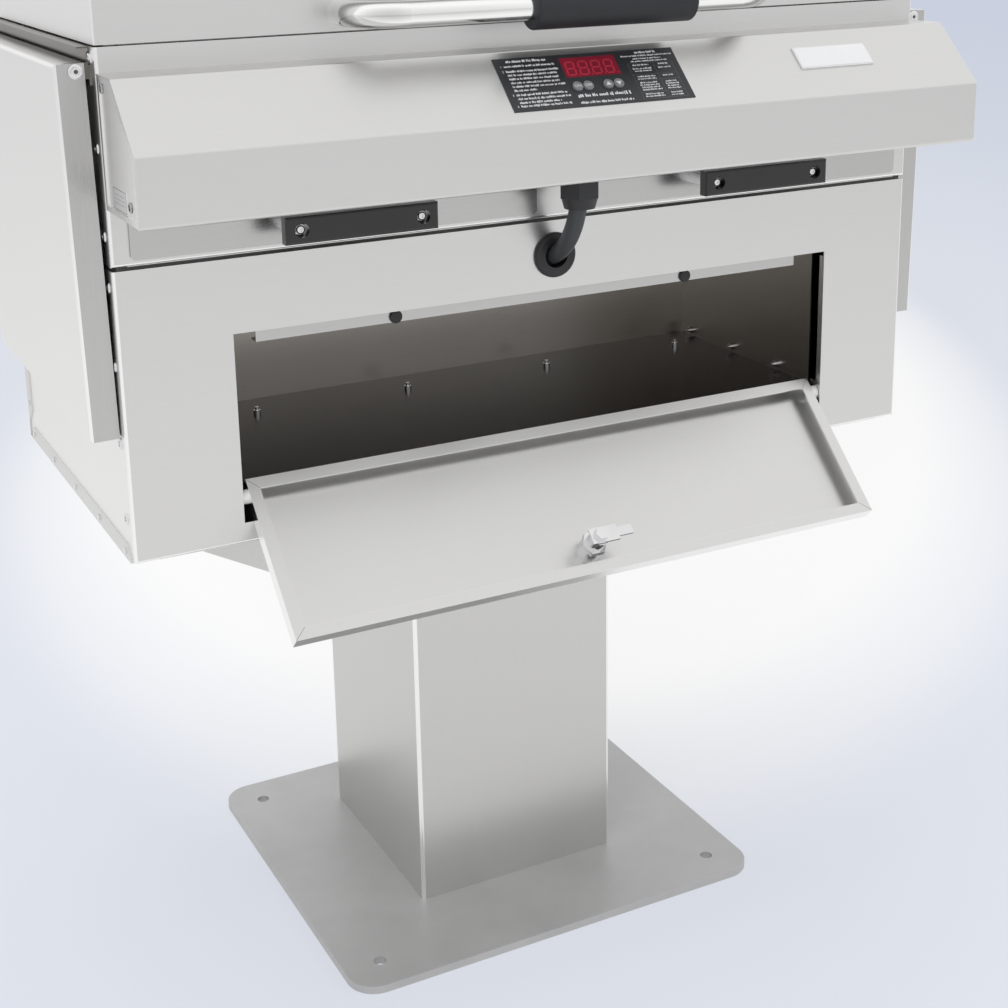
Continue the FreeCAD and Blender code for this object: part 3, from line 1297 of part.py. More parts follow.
module_foot = block("module_foot", ("gland_nut_radius + cord_radius", "gland_nut_radius + cord_radius + module_foot_width"),
                    ("gland_y - module_depth / 2", "gland_y + module_depth / 2"),
                    ("console_plate + sheet", "power_module_z"))
module_body = block("module_body", ("-module_width / 2", "gland_nut_radius + cord_radius + module_foot_width"),
                    ("gland_y - module_depth / 2", "gland_y + module_depth / 2"),
                    ("power_module_z", "power_module_z + module_height"))
power_module = join("power_module", [module_foot, module_body])

terminal_boxes = group("terminal_boxes", [junction_box, power_module])

# Lid: rolled shell, bar handle with a sleeve grip, and hinge leaves.
lid_block = block("lid_block", ("left", "right"), ("front", "outer_rear"), ("lid_low", "lid_high"))
lid_front_round = rounded("lid_front_round", lid_block, size("lid_front_radius"),
                          straight_edges(lid_block, "x", y="low", z="high"))
lid_round = rounded("lid_round", lid_front_round, size("lid_rear_radius"),
                    straight_edges(lid_front_round, "x", y="high", z="high"))
lid_core = block("lid_core", ("left + sheet", "right - sheet"), ("front + sheet", "outer_rear - sheet"),
                 ("lid_low - past", "lid_high - sheet"))
lid_core_front = rounded("lid_core_front", lid_core, size("lid_front_radius") - size("sheet"),
                         straight_edges(lid_core, "x", y="low", z="high"))
lid_core_round = rounded("lid_core_round", lid_core_front, size("lid_rear_radius") - size("sheet"),
                         straight_edges(lid_core_front, "x", y="high", z="high"))
lid_shell = cut("lid_shell", lid_round, [lid_core_round])

QUARTER_LEFT = Rotation(Vector(-1, 0, 0), Vector(0, -1, 0), Vector(0, 0, 1), "ZXY")
bar_main = rod("bar_main", "bar_radius", ("-bar_spread / 2 + bar_bend_radius", "bar_spread / 2 - bar_bend_radius"),
               "front - bar_reach", "lid_low + bar_lift")
bar_turn = bend("bar_turn", "bar_radius", "bar_bend_radius", "90 deg", QUARTER_LEFT,
                "-bar_spread / 2 + bar_bend_radius", "front - bar_reach + bar_bend_radius", "lid_low + bar_lift")
bar_leg = rod("bar_leg", "bar_radius", "-bar_spread / 2", ("front - bar_reach + bar_bend_radius", "front"),
              "lid_low + bar_lift")
lid_handle = seat(join("lid_handle", [bar_main, bar_turn, bar_leg, mirrored("bar_turn_right", bar_turn),
                                      mirrored("bar_leg_right", bar_leg)]), "bar_shift", "0", "0")
grip_outer = rod("grip_outer", "grip_radius", ("grip_offset - grip_length / 2", "grip_offset + grip_length / 2"),
                 "front - bar_reach", "lid_low + bar_lift")
grip_rounded = rounded("grip_rounded", grip_outer, size("grip_edge_radius"),
                       ring_edges(grip_outer, "x", size("grip_offset") - size("grip_length") / 2)
                       + ring_edges(grip_outer, "x", size("grip_offset") + size("grip_length") / 2))
grip_bore = rod("grip_bore", "bar_radius", ("grip_offset - grip_length / 2 - past", "grip_offset + grip_length / 2 + past"),
                "front - bar_reach", "lid_low + bar_lift")
lid_grip = cut("lid_grip", grip_rounded, [grip_bore])

MIDDLE = ("-hinge_spread - hinge_middle_knuckle / 2", "-hinge_spread + hinge_middle_knuckle / 2")
OUTER_LOW = ("-hinge_spread - hinge_middle_knuckle / 2 - hinge_end_gap - hinge_outer_knuckle",
             "-hinge_spread - hinge_middle_knuckle / 2 - hinge_end_gap")
OUTER_HIGH = ("-hinge_spread + hinge_middle_knuckle / 2 + hinge_end_gap",
              "-hinge_spread + hinge_middle_knuckle / 2 + hinge_end_gap + hinge_outer_knuckle")
WHOLE = (OUTER_LOW[0], OUTER_HIGH[1])


def knuckle(name, span, bore):
    """A hinge barrel with its bore."""
    barrel = rod(name + "_barrel", "hinge_knuckle_radius", span, "hinge_y", "hinge_z")
    hole = rod(name + "_hole", bore, (span[0] + " - past", span[1] + " + past"), "hinge_y", "hinge_z")
    return barrel, hole


leaf_plate = block("leaf_plate", WHOLE, ("outer_rear", "outer_rear + hinge_leaf"),
                   ("head_high - hinge_leaf_height", "head_high"))
bracket_parts = [leaf_plate]
bracket_bores = []
for index, span in enumerate((OUTER_LOW, OUTER_HIGH)):
    barrel, hole = knuckle("bracket_knuckle_%d" % index, span, "hinge_pin_radius")
    web = block("bracket_web_%d" % index, span, ("outer_rear", "hinge_y"),
                ("hinge_z - hinge_knuckle_radius", "hinge_z - hinge_knuckle_radius + hinge_leaf"))
    bracket_parts += [barrel, web]
    bracket_bores.append(hole)
hinge_bracket = cut("hinge_bracket", join("hinge_bracket_shape", bracket_parts), bracket_bores)
hinge_pin = rod("hinge_pin", "hinge_pin_radius", WHOLE, "hinge_y", "hinge_z")
lid_hinge_brackets = group("lid_hinge_brackets", [hinge_bracket, hinge_pin,
                                                  mirrored("hinge_bracket_right", hinge_bracket),
                                                  mirrored("hinge_pin_right", hinge_pin)])
lid_leaf_plate = block("lid_leaf_plate", WHOLE, ("outer_rear", "outer_rear + hinge_leaf"),
                       ("lid_low", "lid_low + hinge_leaf_height"))
lid_barrel, lid_bore = knuckle("lid_knuckle", MIDDLE, "hinge_pin_radius + running_gap")
lid_web = block("lid_web", MIDDLE, ("outer_rear", "hinge_y"),
                ("hinge_z + hinge_knuckle_radius - hinge_leaf", "hinge_z + hinge_knuckle_radius"))
lid_leaf = cut("lid_leaf", join("lid_leaf_shape", [lid_leaf_plate, lid_barrel, lid_web]), [lid_bore])
lid_hinge_leaves = group("lid_hinge_leaves", [lid_leaf, mirrored("lid_leaf_right", lid_leaf)])


# Storage door, drawn shut about its pivot and then swung open.
def on_door(obj):
    """Swing a door piece down to its open rest."""
    return turned(obj, X_AXIS, "door_open_angle", "0", "pivot_y", "pivot_z")


FACE = "-pivot_face_offset"
EDGE = "-pivot_edge_offset"
door_block = block("door_block", ("-door_width / 2", "door_width / 2"), (FACE, FACE + " + door_thickness"),
                   (EDGE, EDGE + " + door_height"))
door_picks = straight_edges(door_block, "x", y="low") + straight_edges(door_block, "z", y="low")
door_rounded = rounded("door_rounded", door_block, size("door_bend_radius"), door_picks)
door_hollow = block("door_hollow", ("-door_width / 2 + door_sheet", "door_width / 2 - door_sheet"),
                    (FACE + " + door_sheet", FACE + " + door_thickness - door_sheet"),
                    (EDGE + " + door_sheet", EDGE + " + door_height - door_sheet"))
door_window = block("door_window", ("-door_width / 2 + door_lip", "door_width / 2 - door_lip"),
                    (FACE + " + door_sheet + past", FACE + " + door_thickness + past"),
                    (EDGE + " + door_lip", EDGE + " + door_height - door_lip"))
pin_hole = rod("pin_hole", "pivot_pin_radius", ("-door_width / 2 - past", "-door_width / 2 + door_sheet + past"), "0", "0")
lock_hole = rod("lock_hole", "lock_radius", "lock_offset", (FACE + " - past", FACE + " + door_sheet + past"),
                EDGE + " + lock_height")
door_pan = on_door(cut("door_pan", door_rounded, [door_hollow, door_window, pin_hole,
                                                  mirrored("pin_hole_right", pin_hole), lock_hole]))
door_pin = rod("door_pin", "pivot_pin_radius",
               ("-opening_width / 2 - sheet - pivot_pin_tail", "-door_width / 2 + pivot_pin_inside"), "0", "0")
door_pins = on_door(group("door_pins", [door_pin, mirrored("door_pin_right", door_pin)]))
bush_rod = rod("bush_rod", "bush_radius", ("-door_width / 2 - bush_length", "-door_width / 2"), "0", "0")
bush_hole = rod("bush_hole", "pivot_pin_radius", ("-door_width / 2 - bush_length - past", "-door_width / 2 + past"),
                "0", "0")
door_bush = cut("door_bush", bush_rod, [bush_hole])
door_bushes = on_door(group("door_bushes", [door_bush, mirrored("door_bush_right", door_bush)]))

LOCK_Z = EDGE + " + lock_height"
lock_barrel = rod("lock_barrel", "lock_radius", "lock_offset", (FACE, FACE + " + lock_length"), LOCK_Z)
lock_head = rod("lock_head", "lock_head_radius", "lock_offset", (FACE + " - lock_head_height", FACE), LOCK_Z)
lock_bore = rod("lock_bore", "lock_spindle_radius + running_gap", "lock_offset",
                (FACE + " - lock_head_height - past", FACE + " + lock_length + past"), LOCK_Z)
lock_case = cut("lock_case", join("lock_case_shape", [lock_barrel, lock_head]), [lock_bore])
nut_hex = hexagon("nut_hex", "lock_nut_radius", "lock_offset",
                  (FACE + " + door_sheet + lock_spacer_height",
                   FACE + " + door_sheet + lock_spacer_height + lock_nut_height"), LOCK_Z)
nut_hole = rod("nut_hole", "lock_radius", "lock_offset", (FACE, FACE + " + lock_length"), LOCK_Z)
lock_nut = cut("lock_nut", nut_hex, [nut_hole])
spacer_rod = rod("spacer_rod", "lock_spacer_radius", "lock_offset",
                 (FACE + " + door_sheet", FACE + " + door_sheet + lock_spacer_height"), LOCK_Z)
spacer_hole = rod("spacer_hole", "lock_radius", "lock_offset", (FACE, FACE + " + lock_length"), LOCK_Z)
lock_spacer = cut("lock_spacer", spacer_rod, [spacer_hole])
door_lock = on_door(group("door_lock", [lock_case, lock_nut, lock_spacer]))

CAM_LOW = FACE + " + lock_length + cam_gap"
CAM_HIGH = CAM_LOW + " + cam_thickness"
lock_plug = rod("lock_plug", "lock_spindle_radius", "lock_offset", (FACE + " - lock_head_height", CAM_HIGH), LOCK_Z)
cam_root = block("cam_root", ("lock_offset - cam_tail", "lock_offset + cam_shoulder"), (CAM_LOW, CAM_HIGH),
                 (LOCK_Z + " - cam_width / 2", LOCK_Z + " + cam_width / 2"))
cam_tip = block("cam_tip", ("lock_offset", "lock_offset + cam_reach"), (CAM_LOW, CAM_HIGH),
                (LOCK_Z + " - cam_tip_width / 2", LOCK_Z + " + cam_tip_width / 2"))
cam_hole = rod("cam_hole", "lock_spindle_radius", "lock_offset", (FACE, CAM_HIGH + " + past"), LOCK_Z)
cam_plate = cut("cam_plate", join("cam_shape", [cam_root, cam_tip]), [cam_hole])
cam_screw = hexagon("cam_screw", "cam_screw_radius", "lock_offset", (CAM_HIGH, CAM_HIGH + " + cam_screw_height"),
                    LOCK_Z)
lock_cam = on_door(group("lock_cam", [lock_plug, cam_plate, cam_screw]))


# Side shelves, drawn hanging straight about their pivot and then tipped to rest.
def on_left_side(obj):
    """Carry a shelf piece to its pivot."""
    return turned(obj, Y_AXIS, "-shelf_hang_angle", "left - shelf_pivot_out", "0", "shelf_z")


shelf_block = block("shelf_block", ("-shelf_face_out", "-shelf_face_out + shelf_thickness"),
                    ("shelf_front", "shelf_rear"), ("shelf_pivot_rise - shelf_length", "shelf_pivot_rise"))
shelf_picks = (straight_edges(shelf_block, "z", x="low") + straight_edges(shelf_block, "y", x="low"))
shelf_rounded = rounded("shelf_rounded", shelf_block, size("shelf_bend_radius"), shelf_picks)
shelf_hollow = block("shelf_hollow", ("-shelf_face_out + sheet", "-shelf_face_out + shelf_thickness + past"),
                     ("shelf_front + sheet", "shelf_rear - sheet"),
                     ("shelf_pivot_rise - shelf_length + sheet", "shelf_pivot_rise - sheet"))
shelf_tools = [shelf_hollow]
for index, (low, high) in enumerate([
        ("shelf_front + sheet", "shelf_front + shelf_notch"), ("shelf_rear - shelf_notch", "shelf_rear - sheet")]):
    shelf_tools.append(block("shelf_notch_%d" % index, ("-shelf_notch_reach", "shelf_thickness"), (low, high),
                             ("shelf_pivot_rise - 2 * sheet", "shelf_pivot_rise + past")))
shelf_tools.append(rod("shelf_pin_hole", "shelf_pin_radius + running_gap", "0", ("shelf_front - past", "shelf_rear + past"),
                       "0"))
shelf_left_hung = cut("shelf_left", shelf_rounded, shelf_tools)
shelf_left = on_left_side(shelf_left_hung)
shelf_right = mirrored("shelf_right", shelf_left)

bracket_web = block("bracket_web", ("left - sheet", "left"),
                    ("shelf_front + sheet + bracket_ear_gap", "shelf_rear - sheet - bracket_ear_gap"),
                    ("shelf_z - bracket_low", "head_high"))
bracket_top = block("bracket_top", ("left - bracket_flange", "left"),
                    ("shelf_front + sheet + bracket_ear_gap", "shelf_rear - sheet - bracket_ear_gap"),
                    ("head_high - sheet", "head_high"))
ears = []
ear_holes = []
for index, (low, high) in enumerate([
        ("shelf_front + sheet + bracket_ear_gap", "shelf_front + 2 * sheet + bracket_ear_gap"),
        ("shelf_rear - 2 * sheet - bracket_ear_gap", "shelf_rear - sheet - bracket_ear_gap")]):
    ears.append(rod("ear_round_%d" % index, "bracket_ear_radius", "left - shelf_pivot_out", (low, high), "shelf_z"))
    ears.append(block("ear_arm_%d" % index, ("left - shelf_pivot_out", "left"), (low, high),
                      ("shelf_z - bracket_ear_radius", "shelf_z + bracket_ear_radius")))
ear_bore = rod("ear_bore", "shelf_pin_radius", "left - shelf_pivot_out", ("shelf_front", "shelf_rear"), "shelf_z")
screw_relief = rod("screw_relief", "side_screw_radius + seat_gap", ("left - sheet - seat_gap", "left + past"),
                   "front + side_screw_inset", HEAD_ROWS[2])
bracket_left = cut("bracket_left", join("bracket_shape", [bracket_web, bracket_top] + ears),
                   [ear_bore, screw_relief])
shelf_brackets = group("shelf_brackets", [bracket_left, mirrored("bracket_right", bracket_left)])

pins = []
for index, (head_low, head_high, tail) in enumerate([
        ("shelf_front - shelf_pin_head - bracket_ear_gap", "shelf_front - bracket_ear_gap",
         ("shelf_front - bracket_ear_gap", "shelf_front + 2 * sheet + bracket_ear_gap + shelf_pin_tail")),
        ("shelf_rear + bracket_ear_gap", "shelf_rear + shelf_pin_head + bracket_ear_gap",
         ("shelf_rear - 2 * sheet - bracket_ear_gap - shelf_pin_tail", "shelf_rear + bracket_ear_gap"))]):
    disc = rod("pin_disc_%d" % index, "shelf_pin_head_radius", "left - shelf_pivot_out", (head_low, head_high),
               "shelf_z")
    stem = rod("pin_stem_%d" % index, "shelf_pin_radius", "left - shelf_pivot_out", tail, "shelf_z")
    pins.append(join("shelf_pin_%d" % index, [disc, stem]))
shelf_pins = group("shelf_pins", pins + [mirrored("shelf_pin_right_%d" % i, pin) for i, pin in enumerate(pins)])

PIECES = [
    base_plate, pedestal_column, column_gussets, cabinet_floor_pan, cabinet_front_panel, cabinet_sides, cabinet_top,
    rear_panel, storage_liner, liner_rail, liner_studs, door_stop_strip, bumpers, panel_screws, flange_rivets,
    power_cord, cord_grommet, cable_gland, terminal_boxes, head_front_panel, head_sides, head_floor, firebox_tub,
    drip_funnels, heating_element, element_supports, cooking_grate_left, cooking_grate_right, tray_runners,
    tray_left_pan, tray_left_front, tray_left_handle, tray_right_pan, tray_right_front, tray_right_handle,
    console_cover, console_ends, console_floor, control_overlay, display_window, control_board,
    blank_plates, lid_shell, lid_handle, lid_grip, lid_hinge_brackets, lid_hinge_leaves,
    door_pan, door_pins, door_bushes, door_lock, lock_cam, shelf_left, shelf_right, shelf_brackets, shelf_pins,
] + list(buttons.values())

doc.recompute()
for obj in doc.Objects:
    if "Invalid" in obj.State or "Error" in obj.State:
        raise RuntimeError("%s did not compute" % obj.Name)
names = set()
for piece in PIECES:
    shape = piece.Shape
    if shape.isNull() or not shape.isValid() or not shape.Solids:
        raise RuntimeError("%s has no sound shape" % piece.Name)
    piece.Label = piece.Name
    names.add(piece.Name)
    shape.exportStep("parts/%s.step" % piece.Name)
print("pieces", len(PIECES), "solids", sum(len(piece.Shape.Solids) for piece in PIECES))
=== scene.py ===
"""Looks of the pedestal electric grill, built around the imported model."""
import json
import math
import random

import bmesh
import bpy
from mathutils import Matrix, Vector


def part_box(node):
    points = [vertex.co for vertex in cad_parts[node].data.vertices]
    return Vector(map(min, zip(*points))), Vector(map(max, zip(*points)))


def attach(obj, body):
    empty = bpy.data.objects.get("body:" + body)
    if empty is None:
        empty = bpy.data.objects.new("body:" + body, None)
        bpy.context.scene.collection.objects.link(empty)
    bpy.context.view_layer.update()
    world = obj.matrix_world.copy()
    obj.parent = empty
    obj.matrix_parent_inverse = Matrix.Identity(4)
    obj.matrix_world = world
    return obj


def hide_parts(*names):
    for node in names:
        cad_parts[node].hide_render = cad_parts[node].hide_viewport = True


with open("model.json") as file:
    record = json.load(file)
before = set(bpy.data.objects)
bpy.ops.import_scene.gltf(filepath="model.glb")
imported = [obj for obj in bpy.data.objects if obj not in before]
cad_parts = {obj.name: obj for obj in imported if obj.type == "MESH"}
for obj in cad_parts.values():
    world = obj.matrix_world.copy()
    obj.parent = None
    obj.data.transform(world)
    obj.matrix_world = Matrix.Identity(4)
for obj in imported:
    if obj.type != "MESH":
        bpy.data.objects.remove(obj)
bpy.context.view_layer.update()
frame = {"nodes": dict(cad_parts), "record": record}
scene = bpy.context.scene
NODES = frame["nodes"]
JOINTS = {joint["name"]: joint for joint in frame["record"]["behaviour"]["joints"]}
MM = 0.001
UP = Vector((0.0, 0.0, 1.0))
RIGHT = Vector((1.0, 0.0, 0.0))
FRONT = Vector((0.0, -1.0, 0.0))


# Material building blocks

def new_material(name):
    """An empty material with its node tree and its surface shader."""
    mat = bpy.data.materials.new(name)
    mat.use_nodes = True
    return mat, mat.node_tree, mat.node_tree.nodes["Principled BSDF"]


def add_noise(tree, stretch, scale, detail=3.0, roughness=0.55, seed=0.0):
    """A noise pattern in the piece's own coordinates, stretched along its axes."""
    coords = tree.nodes.new("ShaderNodeTexCoord")
    mapping = tree.nodes.new("ShaderNodeMapping")
    mapping.inputs["Scale"].default_value = stretch
    mapping.inputs["Location"].default_value = (seed, 0.7 * seed, 1.3 * seed)
    noise = tree.nodes.new("ShaderNodeTexNoise")
    noise.inputs["Scale"].default_value = scale
    noise.inputs["Detail"].default_value = detail
    noise.inputs["Roughness"].default_value = roughness
    tree.links.new(coords.outputs["Object"], mapping.inputs["Vector"])
    tree.links.new(mapping.outputs["Vector"], noise.inputs["Vector"])
    return noise.outputs["Fac"]


def ramp(tree, source, stops):
    """Colours along a value."""
    node = tree.nodes.new("ShaderNodeValToRGB")
    points = node.color_ramp.elements
    while len(points) < len(stops):
        points.new(0.5)
    for point, (place, color) in zip(points, stops):
        point.position = place
        point.color = (*color, 1.0)
    tree.links.new(source, node.inputs["Fac"])
    return node.outputs["Color"]


def spread(tree, source, low, high, start=0.0, end=1.0):
    """A value moved to a new range."""
    node = tree.nodes.new("ShaderNodeMapRange")
    node.inputs["From Min"].default_value = start
    node.inputs["From Max"].default_value = end
    node.inputs["To Min"].default_value = low
    node.inputs["To Max"].default_value = high
    tree.links.new(source, node.inputs["Value"])
    return node.outputs["Result"]


def combine(tree, operation, first, second):
    """Two values put together."""
    node = tree.nodes.new("ShaderNodeMath")
    node.operation = operation
    for socket, value in zip(node.inputs, (first, second)):
        if isinstance(value, float):
            socket.default_value = value
        else:
            tree.links.new(value, socket)
    return node.outputs["Value"]


def blend_colors(tree, factor, first, second):
    """One colour fading into another."""
    node = tree.nodes.new("ShaderNodeMix")
    node.data_type = "RGBA"
    colors = [socket for socket in node.inputs if socket.type == "RGBA"]
    tree.links.new(factor, node.inputs["Factor"])
    for socket, value in zip(colors, (first, second)):
        if isinstance(value, tuple):
            socket.default_value = (*value, 1.0)
        else:
            tree.links.new(value, socket)
    return next(socket for socket in node.outputs if socket.type == "RGBA")


def add_bump(tree, shader, source, strength, depth):
    """A fine relief."""
    node = tree.nodes.new("ShaderNodeBump")
    node.inputs["Strength"].default_value = strength
    node.inputs["Distance"].default_value = depth
    tree.links.new(source, node.inputs["Height"])
    tree.links.new(node.outputs["Normal"], shader.inputs["Normal"])


def edge_mask(tree, width):
    """One at a sharp edge and zero on a flat; it lightens edges, partly as edge wear and partly as a painted
    edge highlight.
    """
    soft = tree.nodes.new("ShaderNodeBevel")
    soft.samples = 4
    soft.inputs["Radius"].default_value = width
    here = tree.nodes.new("ShaderNodeNewGeometry")
    dot = tree.nodes.new("ShaderNodeVectorMath")
    dot.operation = "DOT_PRODUCT"
    tree.links.new(soft.outputs["Normal"], dot.inputs[0])
    tree.links.new(here.outputs["Normal"], dot.inputs[1])
    return spread(tree, dot.outputs["Value"], 1.0, 0.0, 0.86, 0.995)


GRAIN = {"x": (0.012, 1.0, 1.0), "y": (1.0, 0.012, 1.0), "z": (1.0, 1.0, 0.012)}


def brushed(name, grain, tone, rough=0.3, variation=0.02, tint=(1.0, 1.0, 1.0), rub_and_sheen_width=0.0008):
    """Brushed sheet: fine streaks along one axis, soft smudges, and edges lightened partly for wear and
    partly as a painted highlight.
    """
    mat, tree, shader = new_material(name)
    shader.inputs["Metallic"].default_value = 1.0
    fine = add_noise(tree, GRAIN[grain], 2600.0, 2.0, 0.5)
    streak = add_noise(tree, GRAIN[grain], 1100.0, 3.0, 0.6, 3.1)
    smudge = add_noise(tree, (1.0, 1.0, 1.0), 5.0, 3.0, 0.55, 7.7)
    lines = combine(tree, "MULTIPLY", combine(tree, "ADD", fine, streak), 0.5)
    low = tuple((tone - variation) * part for part in tint)
    high = tuple((tone + variation) * part for part in tint)
    color = ramp(tree, lines, [(0.3, low), (0.7, high)])
    # Edge wear and painted edge highlight: the base colour turns lighter at sharp edges.
    rub_and_sheen = combine(tree, "MULTIPLY", edge_mask(tree, rub_and_sheen_width), 0.75)
    bright = tuple(min(1.0, (tone + 0.16) * part) for part in tint)
    tree.links.new(blend_colors(tree, rub_and_sheen, color, bright), shader.inputs["Base Color"])
    base = spread(tree, lines, rough - 0.05, rough + 0.05)
    tree.links.new(combine(tree, "ADD", base, spread(tree, smudge, -0.04, 0.04)), shader.inputs["Roughness"])
    add_bump(tree, shader, lines, 0.3, 0.00003)
    return mat


def moulded(name, color, rough, grain, depth, variation=0.15, metallic=0.0, coat=0.0):
    """Plastic, rubber, paint or plating with a fine texture and a slight change of colour."""
    mat, tree, shader = new_material(name)
    shader.inputs["Metallic"].default_value = metallic
    shader.inputs["Coat Weight"].default_value = coat
    shader.inputs["Coat Roughness"].default_value = 0.1
    texture = add_noise(tree, (1.0, 1.0, 1.0), 1.0 / grain, 3.0, 0.6)
    broad = add_noise(tree, (1.0, 1.0, 1.0), 14.0, 3.0, 0.6, 2.0)
    low = tuple(part * (1.0 - variation) for part in color)
    high = tuple(min(1.0, part * (1.0 + variation)) for part in color)
    body = ramp(tree, broad, [(0.3, low), (0.7, high)])
    # Edge wear and painted edge highlight: the base colour turns lighter at sharp edges.
    rub_and_sheen = combine(tree, "MULTIPLY", edge_mask(tree, 0.0006), 0.35)
    lighter = tuple(min(1.0, part * 1.6 + 0.01) for part in color)
    tree.links.new(blend_colors(tree, rub_and_sheen, body, lighter), shader.inputs["Base Color"])
    tree.links.new(spread(tree, texture, rough - 0.06, rough + 0.06), shader.inputs["Roughness"])
    add_bump(tree, shader, texture, 0.5, depth)
    return mat


TUBE_BANDS = [(0.0, 0.62), (0.1, 0.80), (0.2, 0.97), (0.34, 0.92), (0.44, 0.50), (0.54, 0.34), (0.64, 0.72),
              (0.8, 0.95), (1.0, 0.6)]


def banded(name):
    """A polished tube, with the dark and bright bands that a room leaves along it."""
    mat, tree, shader = new_material(name)
    shader.inputs["Metallic"].default_value = 1.0
    fine = add_noise(tree, GRAIN["x"], 2400.0, 2.0, 0.5)
    smudge = add_noise(tree, (0.2, 1.0, 1.0), 60.0, 2.0, 0.5, 4.4)
    turn = tree.nodes.new("ShaderNodeLayerWeight")
    turn.inputs["Blend"].default_value = 0.5
    wander = combine(tree, "ADD", turn.outputs["Facing"], spread(tree, smudge, -0.03, 0.03))
    color = ramp(tree, wander, [(place, (tone, tone, 0.99 * tone)) for place, tone in TUBE_BANDS])
    # Edge wear and painted edge highlight: the base colour turns lighter at sharp edges.
    rub_and_sheen = combine(tree, "MULTIPLY", edge_mask(tree, 0.0004), 0.5)
    tree.links.new(blend_colors(tree, rub_and_sheen, color, (0.95, 0.95, 0.95)), shader.inputs["Base Color"])
    tree.links.new(spread(tree, fine, 0.1, 0.18), shader.inputs["Roughness"])
    add_bump(tree, shader, fine, 0.2, 0.00002)
    return mat


# Finishes

WARM = (1.0, 0.995, 0.985)
SHEET_X = brushed("sheet_grain_x", "x", 0.71, 0.30, 0.012, tint=WARM)
# Painted light: sheets that face sideways get a lighter tone (0.90) than front-facing sheets (0.71), for the
# light falling on the sides; the grain direction is real.
LIT_SHEET_Y = brushed("lit_sheet_grain_y", "y", 0.90, 0.34, 0.012, tint=WARM)
# Painted shade: the shelves' front faces are a darker tone of the same sheet.
SHELF_FRONT_SHADE = brushed("shelf_front_shade_sheet", "z", 0.55, 0.26, 0.02, tint=WARM)
# Painted highlight: bright finishes for bends and rims, where the sheet catches the light.
BEND_HIGHLIGHT_X = brushed("bend_highlight_x", "x", 0.95, 0.20, 0.01, rub_and_sheen_width=0.0004)
BEND_HIGHLIGHT_Z = brushed("bend_highlight_z", "z", 0.95, 0.20, 0.01, rub_and_sheen_width=0.0004)
STRIP = brushed("stop_strip", "x", 0.56, 0.30, tint=WARM)
SHADED = brushed("shaded_sheet", "y", 0.17, 0.30, 0.02, (1.0, 0.95, 0.87))
SHEET_Z = brushed("sheet_grain_z", "z", 0.64, 0.34, 0.008, tint=WARM)
# Painted shade: the tray fronts are darker, standing in for the shade under the console.
TRAY_FACE_SHADE = brushed("tray_front_shade_sheet", "x", 0.56, 0.26, tint=WARM)
# Painted shade inside the cabinet: the liner's walls are a darker, browner tone and its floor is nearly black
# brown.
LINER_WALL_SHADE = brushed("liner_wall_shade", "x", 0.52, 0.30, 0.02, (1.0, 0.955, 0.89))
LINER_FLOOR_SHADE = brushed("liner_floor", "x", 0.03, 0.24, 0.008, (1.0, 0.85, 0.70))
INNER = brushed("inner_sheet", "x", 0.52, 0.30, 0.03, (1.0, 0.975, 0.94))
POLISHED = banded("polished_tube")
PLATE = brushed("bare_plate", "x", 0.80, 0.36, 0.02)
ZINC = moulded("bright_zinc", (0.78, 0.78, 0.79), 0.2, 0.0012, 0.00002, 0.05, 1.0)
GRATE = moulded("grate_rod", (0.62, 0.61, 0.60), 0.28, 0.0015, 0.00003, 0.08, 1.0)
ELEMENT = moulded("element_sheath", (0.10, 0.095, 0.09), 0.5, 0.001, 0.00003, 0.2, 0.6)
FOAM = moulded("foam_sleeve", (0.016, 0.017, 0.02), 0.55, 0.0011, 0.0001, 0.2)
RUBBER = moulded("black_rubber", (0.016, 0.016, 0.017), 0.5, 0.0012, 0.00005, 0.2)
CORD = moulded("cord_jacket", (0.042, 0.044, 0.047), 0.42, 0.0016, 0.00004, 0.15)
NYLON = moulded("black_nylon", (0.02, 0.02, 0.022), 0.42, 0.0009, 0.00005, 0.2)
HANDLE_BLACK = moulded("handle_black", (0.009, 0.009, 0.010), 0.2, 0.0008, 0.00001, 0.2, 0.0, 0.3)
WHITE_NYLON = moulded("white_nylon", (0.80, 0.79, 0.76), 0.45, 0.0012, 0.00003, 0.05)
LABEL = moulded("label_sheet", (0.022, 0.023, 0.026), 0.34, 0.0007, 0.00001, 0.08)
PANE = moulded("display_pane", (0.22, 0.016, 0.032), 0.14, 0.002, 0.000005, 0.15)
SEGMENT = moulded("display_segment", (0.42, 0.03, 0.055), 0.25, 0.001, 0.000005, 0.1)
BUTTON = moulded("button_cap", (0.20, 0.20, 0.205), 0.38, 0.0007, 0.00001, 0.06)
INK = moulded("white_ink", (0.72, 0.72, 0.72), 0.5, 0.0005, 0.000005, 0.04)
GREY_INK = moulded("grey_ink", (0.16, 0.16, 0.165), 0.5, 0.0005, 0.000005, 0.06)
RESIN = moulded("plate_resin", (0.80, 0.80, 0.80), 0.16, 0.003, 0.000004, 0.02)
# Dark finish for real seams, also used as painted shade in gaps, in the shelf pins' bores and under the lid's
# rim.
SEAM_AND_SHADE = moulded("seam_shadow", (0.10, 0.098, 0.095), 0.5, 0.0006, 0.00001, 0.2, 0.6)
PAINT = moulded("base_paint", (0.50, 0.50, 0.50), 0.42, 0.0016, 0.00004, 0.05, 0.5)

